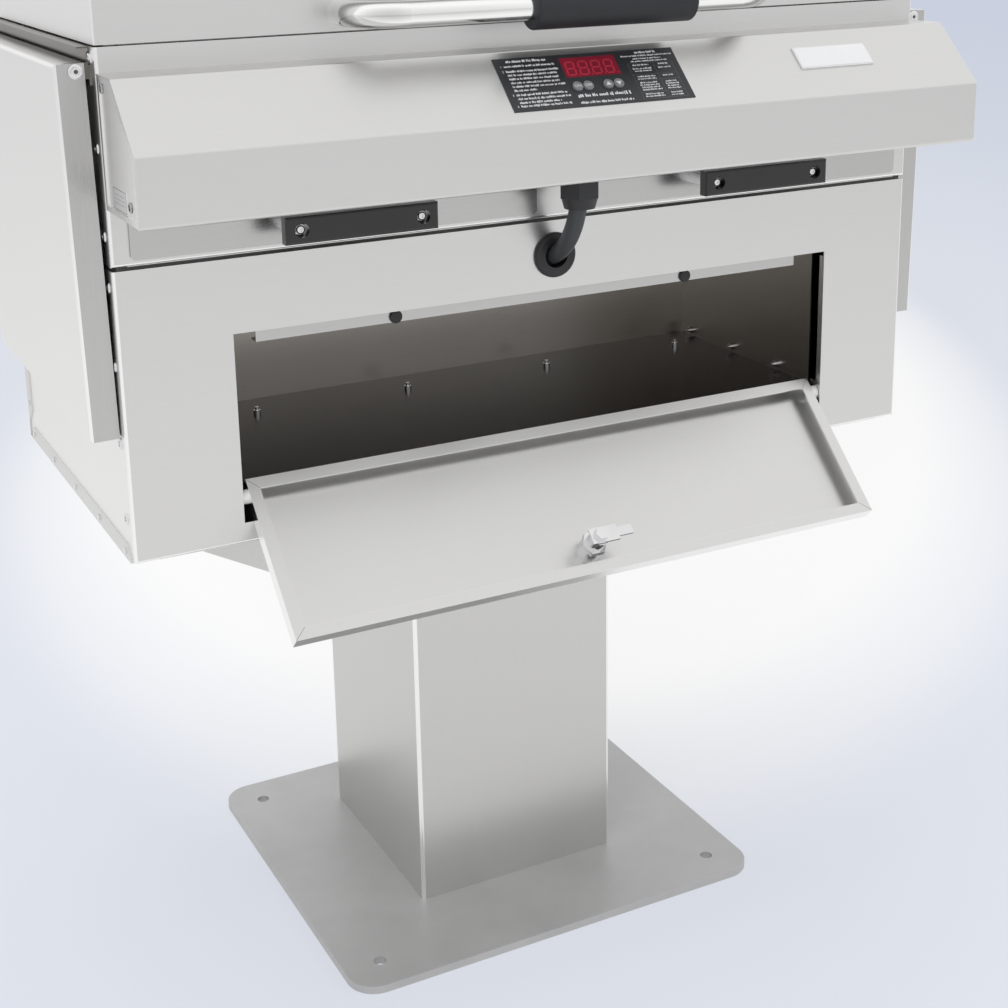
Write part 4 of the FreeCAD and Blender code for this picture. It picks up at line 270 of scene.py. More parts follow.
CARRIED = [
    (SHEET_X, "cabinet_front_panel head_front_panel lid_shell console_cover door_pan tray_left_pan"),
    (SHEET_X, "tray_right_pan rear_panel console_floor cabinet_floor_pan"),
    (STRIP, "door_stop_strip"),
    (LIT_SHEET_Y, "cabinet_sides head_sides console_ends shelf_left shelf_right"),
    (SHADED, "shelf_brackets"),
    (SHEET_Z, "pedestal_column column_gussets"),
    (TRAY_FACE_SHADE, "tray_left_front tray_right_front"),
    (LINER_WALL_SHADE, "storage_liner"),
    (INNER, "cabinet_top head_floor firebox_tub drip_funnels tray_runners liner_rail element_supports"),
    (POLISHED, "lid_handle"),
    (ZINC, "panel_screws flange_rivets shelf_pins liner_studs door_pins door_lock lock_cam"),
    (ZINC, "lid_hinge_brackets lid_hinge_leaves"),
    (GRATE, "cooking_grate_left cooking_grate_right"),
    (ELEMENT, "heating_element"),
    (FOAM, "lid_grip"),
    (RUBBER, "bumpers cord_grommet"),
    (CORD, "power_cord"),
    (NYLON, "cable_gland terminal_boxes control_board"),
    (HANDLE_BLACK, "tray_left_handle tray_right_handle"),
    (WHITE_NYLON, "door_bushes"),
    (LABEL, "control_overlay"),
    (PANE, "display_window"),
    (BUTTON, "button_on button_off button_up button_down"),
    (PLATE, "blank_plates"),
    (PAINT, "base_plate"),
]
for finish, names in CARRIED:
    for name in names.split():
        data = NODES[name].data
        data.materials.clear()
        data.materials.append(finish)


def second_finish(name, finish, chosen):
    """Give some of a node's faces another finish."""
    data = NODES[name].data
    data.materials.append(finish)
    index = len(data.materials) - 1
    for face in data.polygons:
        if chosen(face):
            face.material_index = index


END_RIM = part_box("console_ends")[1][0] - 0.5 * MM
LID_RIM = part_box("lid_shell")[0][2] + 3.0 * MM
NEARLY_FLAT = 0.985
SQUARE_ON = 0.9


def shelf_front_bend(face):
    """Whether a face of a shelf lies in the bend between its front edge and its broad side."""
    return -NEARLY_FLAT < face.normal.y < -0.15 and abs(face.normal.x) > 0.15


def sheet_directions(name, share=0.04):
    """The directions of a node's broad flats, and so of everything that isn't a bend."""
    areas = {}
    for face in NODES[name].data.polygons:
        key = tuple(round(part, 2) for part in face.normal)
        areas[key] = areas.get(key, 0.0) + face.area
    total = sum(areas.values())
    return [Vector(key).normalized() for key, area in areas.items() if area > share * total]


def polish_bends(name, finish, share=0.04):
    """The bends of a folded sheet get a painted highlight: a brighter finish on every face that isn't one of
    its broad flats.
    """
    flats = sheet_directions(name, share)
    second_finish(name, finish, lambda face: all(face.normal.dot(flat) < NEARLY_FLAT for flat in flats))


# Painted light: the side faces of the front panels and lid take the lighter side-sheet finish.
for name in ("cabinet_front_panel", "head_front_panel", "lid_shell"):
    second_finish(name, LIT_SHEET_Y, lambda face: abs(face.normal.x) > SQUARE_ON)
    polish_bends(name, BEND_HIGHLIGHT_Z)
polish_bends("pedestal_column", BEND_HIGHLIGHT_Z)
polish_bends("door_pan", BEND_HIGHLIGHT_X)
# Painted shade on the shelves' front faces, painted highlight on the bends between front and side.
for name in ("shelf_left", "shelf_right"):
    second_finish(name, SHELF_FRONT_SHADE, lambda face: face.normal.y < -SQUARE_ON)
    second_finish(name, BEND_HIGHLIGHT_Z, shelf_front_bend)
# Painted shade on the liner's floor.
second_finish("storage_liner", LINER_FLOOR_SHADE, lambda face: face.normal.z > SQUARE_ON)
# Painted highlight on the outer rim of the console's ends.
second_finish("console_ends", BEND_HIGHLIGHT_Z,
              lambda face: abs(face.normal.x) > SQUARE_ON and abs(face.center.x) > END_RIM)
# Painted shade: the edge faces of the cabinet top and head floor, seen in the gap between head and cabinet,
# are made dark.
for name in ("cabinet_top", "head_floor"):
    second_finish(name, SEAM_AND_SHADE, lambda face: abs(face.normal.z) < 0.5)
# Painted shade under the lid's lower rim.
second_finish("lid_shell", SEAM_AND_SHADE, lambda face: face.normal.z < -SQUARE_ON and face.center.z < LID_RIM)
# Painted highlight: the door's lower lip faces look down and forward, and the bright bend finish makes them
# read light instead of shaded.
second_finish("door_pan", BEND_HIGHLIGHT_X, lambda face: face.normal.y < -0.6 and face.normal.z < -0.6)


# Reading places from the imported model

def islands(name):
    """The lowest and highest corner of each separate solid of a node."""
    data = NODES[name].data
    parent = list(range(len(data.vertices)))

    def root(i):
        while parent[i] != i:
            parent[i] = parent[parent[i]]
            i = parent[i]
        return i

    for edge in data.edges:
        a, b = root(edge.vertices[0]), root(edge.vertices[1])
        parent[a] = b
    groups = {}
    for vert in data.vertices:
        groups.setdefault(root(vert.index), []).append(vert.co)
    boxes = []
    for points in groups.values():
        low = Vector([min(p[k] for p in points) for k in range(3)])
        high = Vector([max(p[k] for p in points) for k in range(3)])
        boxes.append((low, high))
    return boxes


def face_frame(name, toward, across=RIGHT, outermost=False):
    """The frame at the middle of a node's largest flat that looks one way, and the flat's size."""
    data = NODES[name].data
    areas = {}
    for face in data.polygons:
        if face.normal.dot(toward) > 0.5:
            key = tuple(round(part, 2) for part in face.normal)
            areas.setdefault(key, []).append(face)
    faces = max(areas.values(), key=lambda group: sum(face.area for face in group))
    normal = faces[0].normal.normalized()
    if outermost:
        top = max(face.center.dot(normal) for face in faces)
        faces = [face for face in faces if face.center.dot(normal) > top - 0.05 * MM]
    along = (across - across.dot(normal) * normal).normalized()
    upward = normal.cross(along)
    points = [data.vertices[i].co for face in faces for i in face.vertices]
    spans = []
    for axis in (along, upward):
        reach = [point.dot(axis) for point in points]
        spans.append((min(reach), max(reach)))
    middle = normal * max(point.dot(normal) for point in points)
    for axis, (low, high) in zip((along, upward), spans):
        middle += axis * (low + high) / 2
    return basis(along, upward, normal, middle), [high - low for low, high in spans]


def basis(x, y, z, place):
    """A matrix from three axes and a place."""
    return Matrix(((x.x, y.x, z.x, place.x),
                   (x.y, y.y, z.y, place.y),
                   (x.z, y.z, z.z, place.z),
                   (0.0, 0.0, 0.0, 1.0)))


def looking(direction, place):
    """A frame whose third axis points one way."""
    z = direction.normalized()
    x = (RIGHT if abs(z.x) < 0.9 else FRONT).cross(z).normalized()
    return basis(x, z.cross(x), z, place)


# Mesh building blocks

def piece(name, bm, finishes, body, smooth_angle=35.0):
    """Make a piece from a mesh, give it its finish and let it ride on a body."""
    data = bpy.data.meshes.new(name)
    bmesh.ops.recalc_face_normals(bm, faces=bm.faces)
    bm.to_mesh(data)
    bm.free()
    for finish in finishes:
        data.materials.append(finish)
    obj = bpy.data.objects.new(name, data)
    scene.collection.objects.link(obj)
    data.shade_smooth()
    data.set_sharp_from_angle(angle=math.radians(smooth_angle))
    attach(obj, body)
    return obj


def lathe(bm, place, profile, segments=32):
    """A closed turned shape: rings of radius and height, with flat ends."""
    rings = []
    for radius, height in profile:
        ring = []
        for k in range(segments):
            angle = 2 * math.pi * k / segments
            spot = Vector((radius * math.cos(angle), radius * math.sin(angle), height))
            ring.append(bm.verts.new(place @ spot))
        rings.append(ring)
    for lower, upper in zip(rings, rings[1:]):
        for k in range(segments):
            j = (k + 1) % segments
            bm.faces.new((lower[k], lower[j], upper[j], upper[k]))
    bm.faces.new(rings[0][::-1])
    bm.faces.new(rings[-1])


def prism(bm, place, points, low, high, finish=0):
    """A flat outline with a thickness."""
    bottom = [bm.verts.new(place @ Vector((x, y, low))) for x, y in points]
    top = [bm.verts.new(place @ Vector((x, y, high))) for x, y in points]
    faces = [bm.faces.new(bottom[::-1]), bm.faces.new(top)]
    for k in range(len(points)):
        j = (k + 1) % len(points)
        faces.append(bm.faces.new((bottom[k], bottom[j], top[j], top[k])))
    for face in faces:
        face.material_index = finish


def bar(bm, place, x, y, low, high, finish=0):
    """A small block between two x values and two y values."""
    prism(bm, place, [(x[0], y[0]), (x[1], y[0]), (x[1], y[1]), (x[0], y[1])], low, high, finish)


def rounded_outline(width, length, radius, steps=6):
    """A rectangle with round corners about the middle."""
    points = []
    for cx, cy, turn in ((1, 1, 0), (-1, 1, 90), (-1, -1, 180), (1, -1, 270)):
        for k in range(steps + 1):
            angle = math.radians(turn + 90.0 * k / steps)
            points.append((cx * (width / 2 - radius) + radius * math.cos(angle),
                           cy * (length / 2 - radius) + radius * math.sin(angle)))
    return points


def stacked(bm, place, outlines):
    """A closed shape through outlines of equal counts, each at its own height."""
    rings = [[bm.verts.new(place @ Vector((x, y, height))) for x, y in points] for points, height in outlines]
    for lower, upper in zip(rings, rings[1:]):
        for k in range(len(lower)):
            j = (k + 1) % len(lower)
            bm.faces.new((lower[k], lower[j], upper[j], upper[k]))
    bm.faces.new(rings[0][::-1])
    bm.faces.new(rings[-1])


def recess_outline(kind, size):
    """The outline of a screw's drive: a cross or a hexagon."""
    if kind == "hex":
        turns = [math.radians(60 * k) for k in range(6)]
        return [(size * math.cos(turn), size * math.sin(turn)) for turn in turns]
    arm, width = size, 0.28 * size
    corner = [(width, width), (width, arm), (-width, arm)]
    points = []
    for turn in range(4):
        cos, sin = math.cos(turn * math.pi / 2), math.sin(turn * math.pi / 2)
        points += [(cos * x - sin * y, sin * x + cos * y) for x, y in corner]
    unique = []
    for point in points:
        if not unique or math.dist(point, unique[-1]) > 1e-9:
            unique.append(point)
    return unique


DOME = ((1.0, 0.0), (1.0, 0.3), (0.93, 0.62), (0.78, 0.86), (0.6, 1.0))
DRIVE_DEPTH = 0.62


def screw_head(bm, place, radius, height, kind="cross", segments=32):
    """A domed screw head with a sunk drive, standing on the place's plane."""
    rings = []
    for share, rise in DOME:
        ring = []
        for k in range(segments):
            angle = 2 * math.pi * k / segments
            spot = Vector((share * radius * math.cos(angle), share * radius * math.sin(angle), rise * height))
            ring.append(bm.verts.new(place @ spot))
        rings.append(ring)
    for lower, upper in zip(rings, rings[1:]):
        for k in range(segments):
            j = (k + 1) % segments
            bm.faces.new((lower[k], lower[j], upper[j], upper[k]))
    bm.faces.new(rings[0][::-1])
    drive = recess_outline(kind, (0.46 if kind == "cross" else 0.4) * radius)
    mouth = [bm.verts.new(place @ Vector((x, y, height))) for x, y in drive]
    depth = height - DRIVE_DEPTH * height
    pit = [bm.verts.new(place @ Vector((0.82 * x, 0.82 * y, depth))) for x, y in drive]
    count = len(drive)
    edges = [bm.edges.new((mouth[k], mouth[(k + 1) % count])) for k in range(count)]
    rim = [bm.edges.get((rings[-1][k], rings[-1][(k + 1) % segments])) for k in range(segments)]
    bmesh.ops.triangle_fill(bm, use_beauty=True, edges=edges + rim)
    for k in range(count):
        j = (k + 1) % count
        bm.faces.new((mouth[k], mouth[j], pit[j], pit[k]))
    bm.faces.new(pit)


def print_text(bm, place, words, size, thickness, finish=0, align="CENTER"):
    """Plain characters as thin raised shapes."""
    curve = bpy.data.curves.new("characters", "FONT")
    curve.body = words
    curve.size = size
    curve.align_x = align
    curve.align_y = "CENTER"
    curve.extrude = thickness / 2
    holder = bpy.data.objects.new("characters", curve)
    scene.collection.objects.link(holder)
    data = bpy.data.meshes.new_from_object(holder)
    before = len(bm.verts)
    faces_before = len(bm.faces)
    bm.from_mesh(data)
    bm.verts.ensure_lookup_table()
    bm.faces.ensure_lookup_table()
    for vert in bm.verts[before:]:
        vert.co = place @ (vert.co + Vector((0.0, 0.0, thickness / 2)))
    for face in bm.faces[faces_before:]:
        face.material_index = finish
    bpy.data.objects.remove(holder)
    bpy.data.curves.remove(curve)
    bpy.data.meshes.remove(data)


def word_marks(bm, place, start, end, middle, height, chance, thickness=0.02 * MM, finish=0):
    """A line of small upright marks, grouped as the words of a printed line would be."""
    step = 0.56 * height
    spot = start
    letters = chance.randint(2, 8)
    while spot + 0.4 * height < end:
        if letters == 0:
            letters = chance.randint(2, 8)
            spot += 0.45 * height
            continue
        rise = chance.choice((0.16, 0.16, 0.16, 0.5, 0.42))
        drop = chance.choice((0.0, 0.0, 0.0, 0.18))
        width = chance.choice((0.3, 0.42, 0.42, 0.46)) * height
        foot, head = middle - (0.34 + drop) * height, middle + (0.18 + rise) * height
        bar(bm, place, (spot, spot + width), (foot, head), 0.0, thickness, finish)
        spot += max(step, width + 0.12 * height)
        letters -= 1


# Control label: printed lines, a small table, the unlit digits and the marks on the buttons

LABEL_AT, LABEL_SIZE = face_frame("control_overlay", UP)
INK_DEPTH = 0.03 * MM


def label_spot(u, v):
    """A place on the label, in millimetres from its upper left corner."""
    return u * MM - LABEL_SIZE[0] / 2, LABEL_SIZE[1] / 2 - v * MM


def label_words(bm, chance, start, end, v, height, finish=0):
    left, middle = label_spot(start, v)
    right = label_spot(end, v)[0]
    word_marks(bm, LABEL_AT, left, right, middle, height * MM, chance, INK_DEPTH, finish)


LABEL_STEPS = [
    (9.2, (56.9,)), (14.6, (59.6, 56.2, 55.3, 54.8, 58.8, 30.0)), (40.2, (57.0, 58.5, 48.9)), (52.2, (57.1,))]
STEP_PITCH = 4.15
CELL_PITCH = 2.6


def make_label_print():
    """White marks in place of the printed lines, with plain numbers in front of the steps."""
    bm = bmesh.new()
    chance = random.Random(4)
    label_words(bm, chance, 11.9, 52.1, 4.0, 2.6)
    for number, (first, ends) in enumerate(LABEL_STEPS, start=1):
        x, y = label_spot(5.4, first)
        print_text(bm, LABEL_AT @ Matrix.Translation((x, y, 0.0)), str(number), 3.2 * MM, INK_DEPTH)
        for row, end in enumerate(ends):
            label_words(bm, chance, 8.3, end, first + STEP_PITCH * row, 2.1)
    label_words(bm, chance, 65.0, 116.6, 46.3, 3.2)
    label_words(bm, chance, 64.6, 117.2, 53.6, 2.3)
    label_words(bm, chance, 138.7, 161.0, 3.4, 2.4)
    for start, end, v in ((123.4, 175.4, 7.1), (134.0, 163.0, 10.4), (131.0, 168.0, 13.3)):
        label_words(bm, chance, start, end, v, 1.5)
    cells = [(17.5, 1), (21.6, 2), (30.5, 2), (37.4, 4), (50.0, 2)]
    for first, rows in cells:
        for row in range(rows):
            inset = chance.uniform(1.0, 3.0)
            label_words(bm, chance, 128.0 + inset, 150.6 - inset, first + CELL_PITCH * row, 1.5)
            if row != 1 or first > 35.0:
                label_words(bm, chance, 154.0 + inset, 169.8 - inset, first + CELL_PITCH * row, 1.5)
    return piece("label_print", bm, [INK], "cabinet", 20.0)


def make_label_grid():
    """The thin grid of the small table."""
    bm = bmesh.new()
    line = 0.16 * MM
    left, top = label_spot(126.6, 15.4)
    right, bottom = label_spot(171.4, 55.0)
    for v in (15.4, 19.3, 28.2, 34.6, 47.6, 55.0):
        y = label_spot(0.0, v)[1]
        bar(bm, LABEL_AT, (left, right), (y - line / 2, y + line / 2), 0.0, INK_DEPTH)
    for u in (126.6, 152.2, 171.4):
        x = label_spot(u, 0.0)[0]
        bar(bm, LABEL_AT, (x - line / 2, x + line / 2), (bottom, top), 0.0, INK_DEPTH)
    return piece("label_grid", bm, [GREY_INK], "cabinet", 20.0)


def segment_outline(x, y, length, width, upright):
    """One bar of a digit, pointed at both ends."""
    half, side = length / 2, width / 2
    points = [(-half, 0), (-half + side, -side), (half - side, -side),
              (half, 0), (half - side, side), (-half + side, side)]
    if upright:
        points = [(-b, a) for a, b in points]
    return [(x + a, y + b) for a, b in points]


def make_display_digits():
    """Four plain digits with their points, leaning a little."""
    place = face_frame("display_window", UP)[0]
    bm = bmesh.new()
    width, height, stroke, pitch, lean = 8.0 * MM, 14.2 * MM, 1.7 * MM, 12.6 * MM, 0.09
    for digit in range(4):
        middle = (digit - 1.5) * pitch - 0.8 * MM
        bars = [(0.0, side * height / 2, width, False) for side in (-1, 0, 1)]
        bars += [(sx * width / 2, sy * height / 4, height / 2, True) for sx in (-1, 1) for sy in (-1, 1)]
        for x, y, length, upright in bars:
            points = segment_outline(x, y, length - 0.5 * MM, stroke, upright)
            leaning = [(middle + a + lean * b, b - 1.2 * MM) for a, b in points]
            prism(bm, place, leaning, 0.0, 0.04 * MM)
        dot_x, dot_y, dot_radius = middle + width / 2 + 2.2 * MM, -height / 2 - 1.4 * MM, 0.8 * MM
        turns = [math.radians(45 * k) for k in range(8)]
        dot = [(dot_x + dot_radius * math.cos(turn), dot_y + dot_radius * math.sin(turn)) for turn in turns]
        prism(bm, place, dot, 0.0, 0.04 * MM)
    return piece("display_digits", bm, [SEGMENT], "cabinet", 20.0)


def make_button_marks():
    """ON, OFF and two arrows, each on its own button."""
    for body, node in (("on_button", "button_on"), ("off_button", "button_off")):
        place = face_frame(node, UP, outermost=True)[0]
        bm = bmesh.new()
        print_text(bm, place, "ON" if node == "button_on" else "OFF", 3.9 * MM, INK_DEPTH)
        piece(node + "_mark", bm, [INK], body, 20.0)
    for body, node, way in (("up_button", "button_up", 1.0), ("down_button", "button_down", -1.0)):
        place = face_frame(node, UP, outermost=True)[0]
        bm = bmesh.new()
        arrow = [(-2.6 * MM, -1.6 * MM * way), (2.6 * MM, -1.6 * MM * way), (0.0, 2.5 * MM * way)]
        prism(bm, place, arrow[::int(way)], 0.0, INK_DEPTH)
        piece(node + "_mark", bm, [INK], body, 20.0)


make_label_print()
make_label_grid()
make_display_digits()
make_button_marks()


# Bare plates: a domed white plate with a metal rim, and a small grey one

def make_badge():
    """The plate on the console, left bare: a thin rim round a domed white face."""
    place, (width, length) = face_frame("blank_plates", UP)
    bm = bmesh.new()
    outer = rounded_outline(width, length, 1.6 * MM)
    inner = rounded_outline(width - 1.4 * MM, length - 1.4 * MM, 1.0 * MM)
    stacked(bm, place, [(outer, 0.0), (outer, 0.22 * MM), (inner, 0.4 * MM)])
    piece("badge_rim", bm, [PLATE], "cabinet")
    bm = bmesh.new()
    outlines = []
    for shrink, height in ((1.8, 0.3), (1.8, 0.6), (2.2, 0.82), (3.0, 0.98), (4.2, 1.05), (6.4, 1.07)):
        radius = max(0.6, 1.2 + 0.2 * shrink) * MM
        outlines.append((rounded_outline(width - shrink * MM, length - shrink * MM, radius), height * MM))
    stacked(bm, place, outlines)
    return piece("badge_face", bm, [RESIN], "cabinet", 12.0)


def make_rating_marks():
    """The small plate on the console's end, left bare but for a printed edge and a few rules."""
    place, (width, length) = face_frame("blank_plates", -RIGHT, FRONT, outermost=True)
    bm = bmesh.new()
    line, inset = 0.5 * MM, 0.6 * MM
    x, y = width / 2 - inset, length / 2 - inset
    for side in (-1, 1):
        bar(bm, place, sorted((side * x, side * (x - line))), (-y, y), 0.0, INK_DEPTH)
        bar(bm, place, (-x, x), sorted((side * y, side * (y - line))), 0.0, INK_DEPTH)
    for row in range(3):
        level = (3.6 - 3.4 * row) * MM
        bar(bm, place, (-0.72 * x, 0.72 * x), (level - 0.14 * MM, level + 0.14 * MM), 0.0, INK_DEPTH)
    return piece("rating_marks", bm, [GREY_INK], "cabinet", 20.0)


make_badge()
make_rating_marks()


# Screws with their drives

def make_side_screws():
    """Domed screws with cross drives in place of the plain ones on the sides."""
    bm = bmesh.new()
    for low, high in islands("panel_screws"):
        side = 1.0 if low.x > 0 else -1.0
        radius = (high.y - low.y) / 2
        outer = max(abs(low.x), abs(high.x))
        inner = min(abs(low.x), abs(high.x))
        height = 0.3 * radius
        seat = Vector((side * (outer - height), (low.y + high.y) / 2, (low.z + high.z) / 2))
        place = looking(side * RIGHT, seat)
        screw_head(bm, place, radius, height)
        shank = outer - height - inner
        if shank > 0:
            root = looking(side * RIGHT, seat - side * RIGHT * shank)
            lathe(bm, root, [(0.46 * radius, 0.0), (0.46 * radius, shank)], 16)
    obj = piece("side_screws", bm, [ZINC], "cabinet")
    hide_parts("panel_screws")


HANDLE_THICKNESS = 15.0 * MM
HANDLE_SCREW_SPREAD = 54.5 * MM


def dress_tray_handle(side):
    """The black bar keeps its shape; its standoffs are bright and its screws get cross drives."""
    node = "tray_%s_handle" % side
    low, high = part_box(node)
    bar_back = low[1] + HANDLE_THICKNESS
    middle = (low[0] + high[0]) / 2
    level = (low[2] + high[2]) / 2
    spread_x = HANDLE_SCREW_SPREAD
    data = NODES[node].data
    reach = 4.2 * MM

    def bright(face):
        center = face.center
        offset = math.hypot(abs(center.x - middle) - spread_x, center.z - level)
        standoff = center.y > bar_back + 0.2 * MM
        in_bore = low[1] + 0.5 * MM < center.y < bar_back - 1.0 * MM
        return standoff or (offset < reach and in_bore and abs(face.normal.y) > 0.5)

    second_finish(node, ZINC, bright)
    heads = [face.center.y for face in data.polygons if bright(face) and face.center.y < bar_back - 1.0 * MM]
    seat_y = min(heads) if heads else low[1] + 3.0 * MM
    bm = bmesh.new()
    for way in (-1.0, 1.0):
        place = looking(FRONT, Vector((middle + way * spread_x, seat_y, level)))
        screw_head(bm, place, 3.8 * MM, 1.9 * MM)
    piece("tray_%s_screws" % side, bm, [ZINC], side + "_tray")


PIN_RING = [(5.9, 0.0), (5.9, 0.35), (5.4, 0.8), (4.3, 0.9), (3.5, 0.5), (2.9, 0.5), (2.5, 0.75), (2.0, 0.75)]


def make_pin_rings():
    """A bright turned ring round the front end of each shelf's pin, with a dark disc in its bore as painted
    shade.
    """
    pin_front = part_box("shelf_pins")[0][1]
    for side in ("left", "right"):
        joint = JOINTS[side + "_shelf_hinge"]["pos_m"]
        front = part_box("shelf_" + side)[0][1]
        body = "cabinet" if pin_front < front else side + "_shelf"
        front = min(front, pin_front)
        bm = bmesh.new()
        place = looking(FRONT, Vector((joint[0], front, joint[2])))
        lathe(bm, place, [(radius * MM, height * MM) for radius, height in PIN_RING], 40)
        piece("pin_ring_" + side, bm, [ZINC], body, 25.0)
        bm = bmesh.new()
        # Painted shade: a dark disc where the bore is.
        lathe(bm, place, [(1.7 * MM, 0.0), (1.7 * MM, 0.8 * MM), (1.3 * MM, 0.86 * MM)], 24)
        piece("pin_bore_" + side, bm, [SEAM_AND_SHADE], body, 25.0)


make_side_screws()
make_pin_rings()
dress_tray_handle("left")
dress_tray_handle("right")


# Storage door: mitre seams of the folded lips, and the lock's screw. Seams, and painted highlight strips on
# the lid's corners.

DOOR_LIP = 10.3 * MM
DOOR_LEAN = math.radians(44.0)


def make_door_seams():
    """A fine dark seam across each corner of the door's lips."""
    open_way = Vector((0.0, -math.sin(DOOR_LEAN), math.cos(DOOR_LEAN)))
    place, (width, length) = face_frame("door_pan", open_way)
    lip = DOOR_LIP
    bm = bmesh.new()
    for sx in (-1, 1):
        for sy in (-1, 1):
            corner = Vector((sx * (width / 2 - 0.4 * MM), sy * (length / 2 - 0.4 * MM), 0.0))
            inner = corner - Vector((sx * lip, sy * lip, 0.0))
            along = (inner - corner).normalized()
            side = Vector((-along.y, along.x, 0.0)) * 0.16 * MM
            points = [(p.x, p.y) for p in (corner - side, corner + side, inner + side, inner - side)]
            prism(bm, place, points if sx * sy < 0 else points[::-1], 0.0, 0.02 * MM)
    return piece("door_seams", bm, [SEAM_AND_SHADE], "storage_door", 20.0)


def lock_axis():
    """The cam's pivot and the way it points, away from the door's sheet."""
    joint = JOINTS["cam_turn"]
    pivot = Vector(joint["pos_m"])
    axis = Vector(joint["axis"]).normalized()
    cam = Vector(NODES["lock_cam"].data.vertices[0].co)
    return pivot, axis if (cam - pivot).dot(axis) > 0 else -axis


def make_lock_details():
    """A screw with a hexagon socket on the lock's cam."""
    pivot, out = lock_axis()
    heights = [(vert.co - pivot).dot(out) for vert in NODES["lock_cam"].data.vertices]
    top = max(heights)
    bm = bmesh.new()
    screw_head(bm, looking(out, pivot + out * (top - 0.2 * MM)), 5.6 * MM, 1.6 * MM, "hex")
    piece("cam_screw", bm, [ZINC], "door_cam")


LINTEL = 668.2 * MM


def make_strip_seam():
    """The fine shadow where the front panel's edge crosses the stop strip."""
    low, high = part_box("door_stop_strip")
    fronts = [poly.center for poly in NODES["door_stop_strip"].data.polygons if poly.normal.y < -0.9]
    face = min(fronts, key=lambda center: center.z).y
    bm = bmesh.new()
    place = basis(RIGHT, UP, FRONT, Vector((0.0, face, LINTEL)))
    reach = (high[0] - low[0]) / 2 - 0.5 * MM
    bar(bm, place, (-reach, reach), (-0.9 * MM, -0.1 * MM), 0.0, 0.03 * MM)
    return piece("strip_seam", bm, [SEAM_AND_SHADE], "cabinet", 20.0)


def corner_strip(name, place, length, body):
    """Two narrow strips with a painted highlight, one on each side of a sharp fold that runs along the
    place's third axis.
    """
    width, skin = 1.1 * MM, 0.03 * MM
    bm = bmesh.new()
    outline = [(-skin, -skin), (width, -skin), (width, 0.0), (0.0, 0.0), (0.0, width), (-skin, width)]
    prism(bm, place, outline, 0.0, length)
    return piece(name, bm, [BEND_HIGHLIGHT_Z], body, 30.0)


def make_lid_corners():
    """Painted highlight strips along the lid's front corners, where they catch the light."""
    low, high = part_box("lid_shell")
    data = NODES["lid_shell"].data
    fronts = [face for face in data.polygons if face.normal.y < -0.95]
    front = min(face.center.y for face in fronts)
    flat = [face for face in fronts if face.center.y < front + 0.5 * MM]
    levels = [data.vertices[i].co.z for face in flat for i in face.vertices]
    bottom, top = min(levels) + 1.0 * MM, max(levels) - 1.0 * MM
    for side, x in (("left", low[0]), ("right", high[0])):
        inward = RIGHT if side == "left" else -RIGHT
        place = basis(inward, -FRONT, UP, Vector((x, front, bottom)))
        corner_strip("lid_corner_highlight_" + side, place, top - bottom, "lid")


def main_plane(name, direction):
    """How far along a direction the largest flat of a node lies that looks that way."""
    areas = {}
    for face in NODES[name].data.polygons:
        if face.normal.dot(direction) > 0.95:
            key = round(face.center.dot(direction), 4)
            areas[key] = areas.get(key, 0.0) + face.area
    return max(areas, key=areas.get)


LINER_SEAM_DEPTH = 200.0 * MM


def make_liner_seams():
    """Bright welded corners where the liner's walls meet each other and its floor."""
    floor = main_plane("storage_liner", UP)
    ceiling = -main_plane("storage_liner", -UP)
    back = -main_plane("storage_liner", FRONT)
    sides = (main_plane("storage_liner", RIGHT), -main_plane("storage_liner", -RIGHT))
    leg = 1.3 * MM
    gap = 0.05 * MM
    outline = [(gap, gap), (leg, gap), (gap, leg)]
    bm = bmesh.new()
    start = Vector((sides[1] - leg, back, floor))
    prism(bm, basis(UP, FRONT, -RIGHT, start), outline, 0.0, sides[1] - sides[0] - 2 * leg)
    for x, inward in zip(sides, (RIGHT, -RIGHT)):
        prism(bm, basis(inward, UP, FRONT, Vector((x, back - leg, floor))), outline, 0.0, LINER_SEAM_DEPTH)
        foot = Vector((x, back, floor + leg))
        prism(bm, basis(inward, FRONT, UP, foot), outline, 0.0, ceiling - floor - 2 * leg)
    return piece("liner_seams", bm, [ZINC], "cabinet", 30.0)


make_lid_corners()
make_liner_seams()
make_door_seams()
make_strip_seam()
make_lock_details()


# Floor, world, lamps and camera

FLOOR_TONES = [
    (0.095, (1.0, 1.0, 1.0)), (0.109, (0.88, 0.90, 0.94)), (0.119, (0.77, 0.80, 0.87)),
    (0.14, (0.78, 0.81, 0.89)), (0.206, (0.76, 0.80, 0.89)), (0.35, (0.72, 0.77, 0.87)),
    (0.64, (0.69, 0.74, 0.87))]
SKY_TONES = [(0.0, (0.92, 0.92, 0.93)), (0.3, (0.97, 0.97, 0.97)), (1.0, (1.0, 1.0, 1.0))]


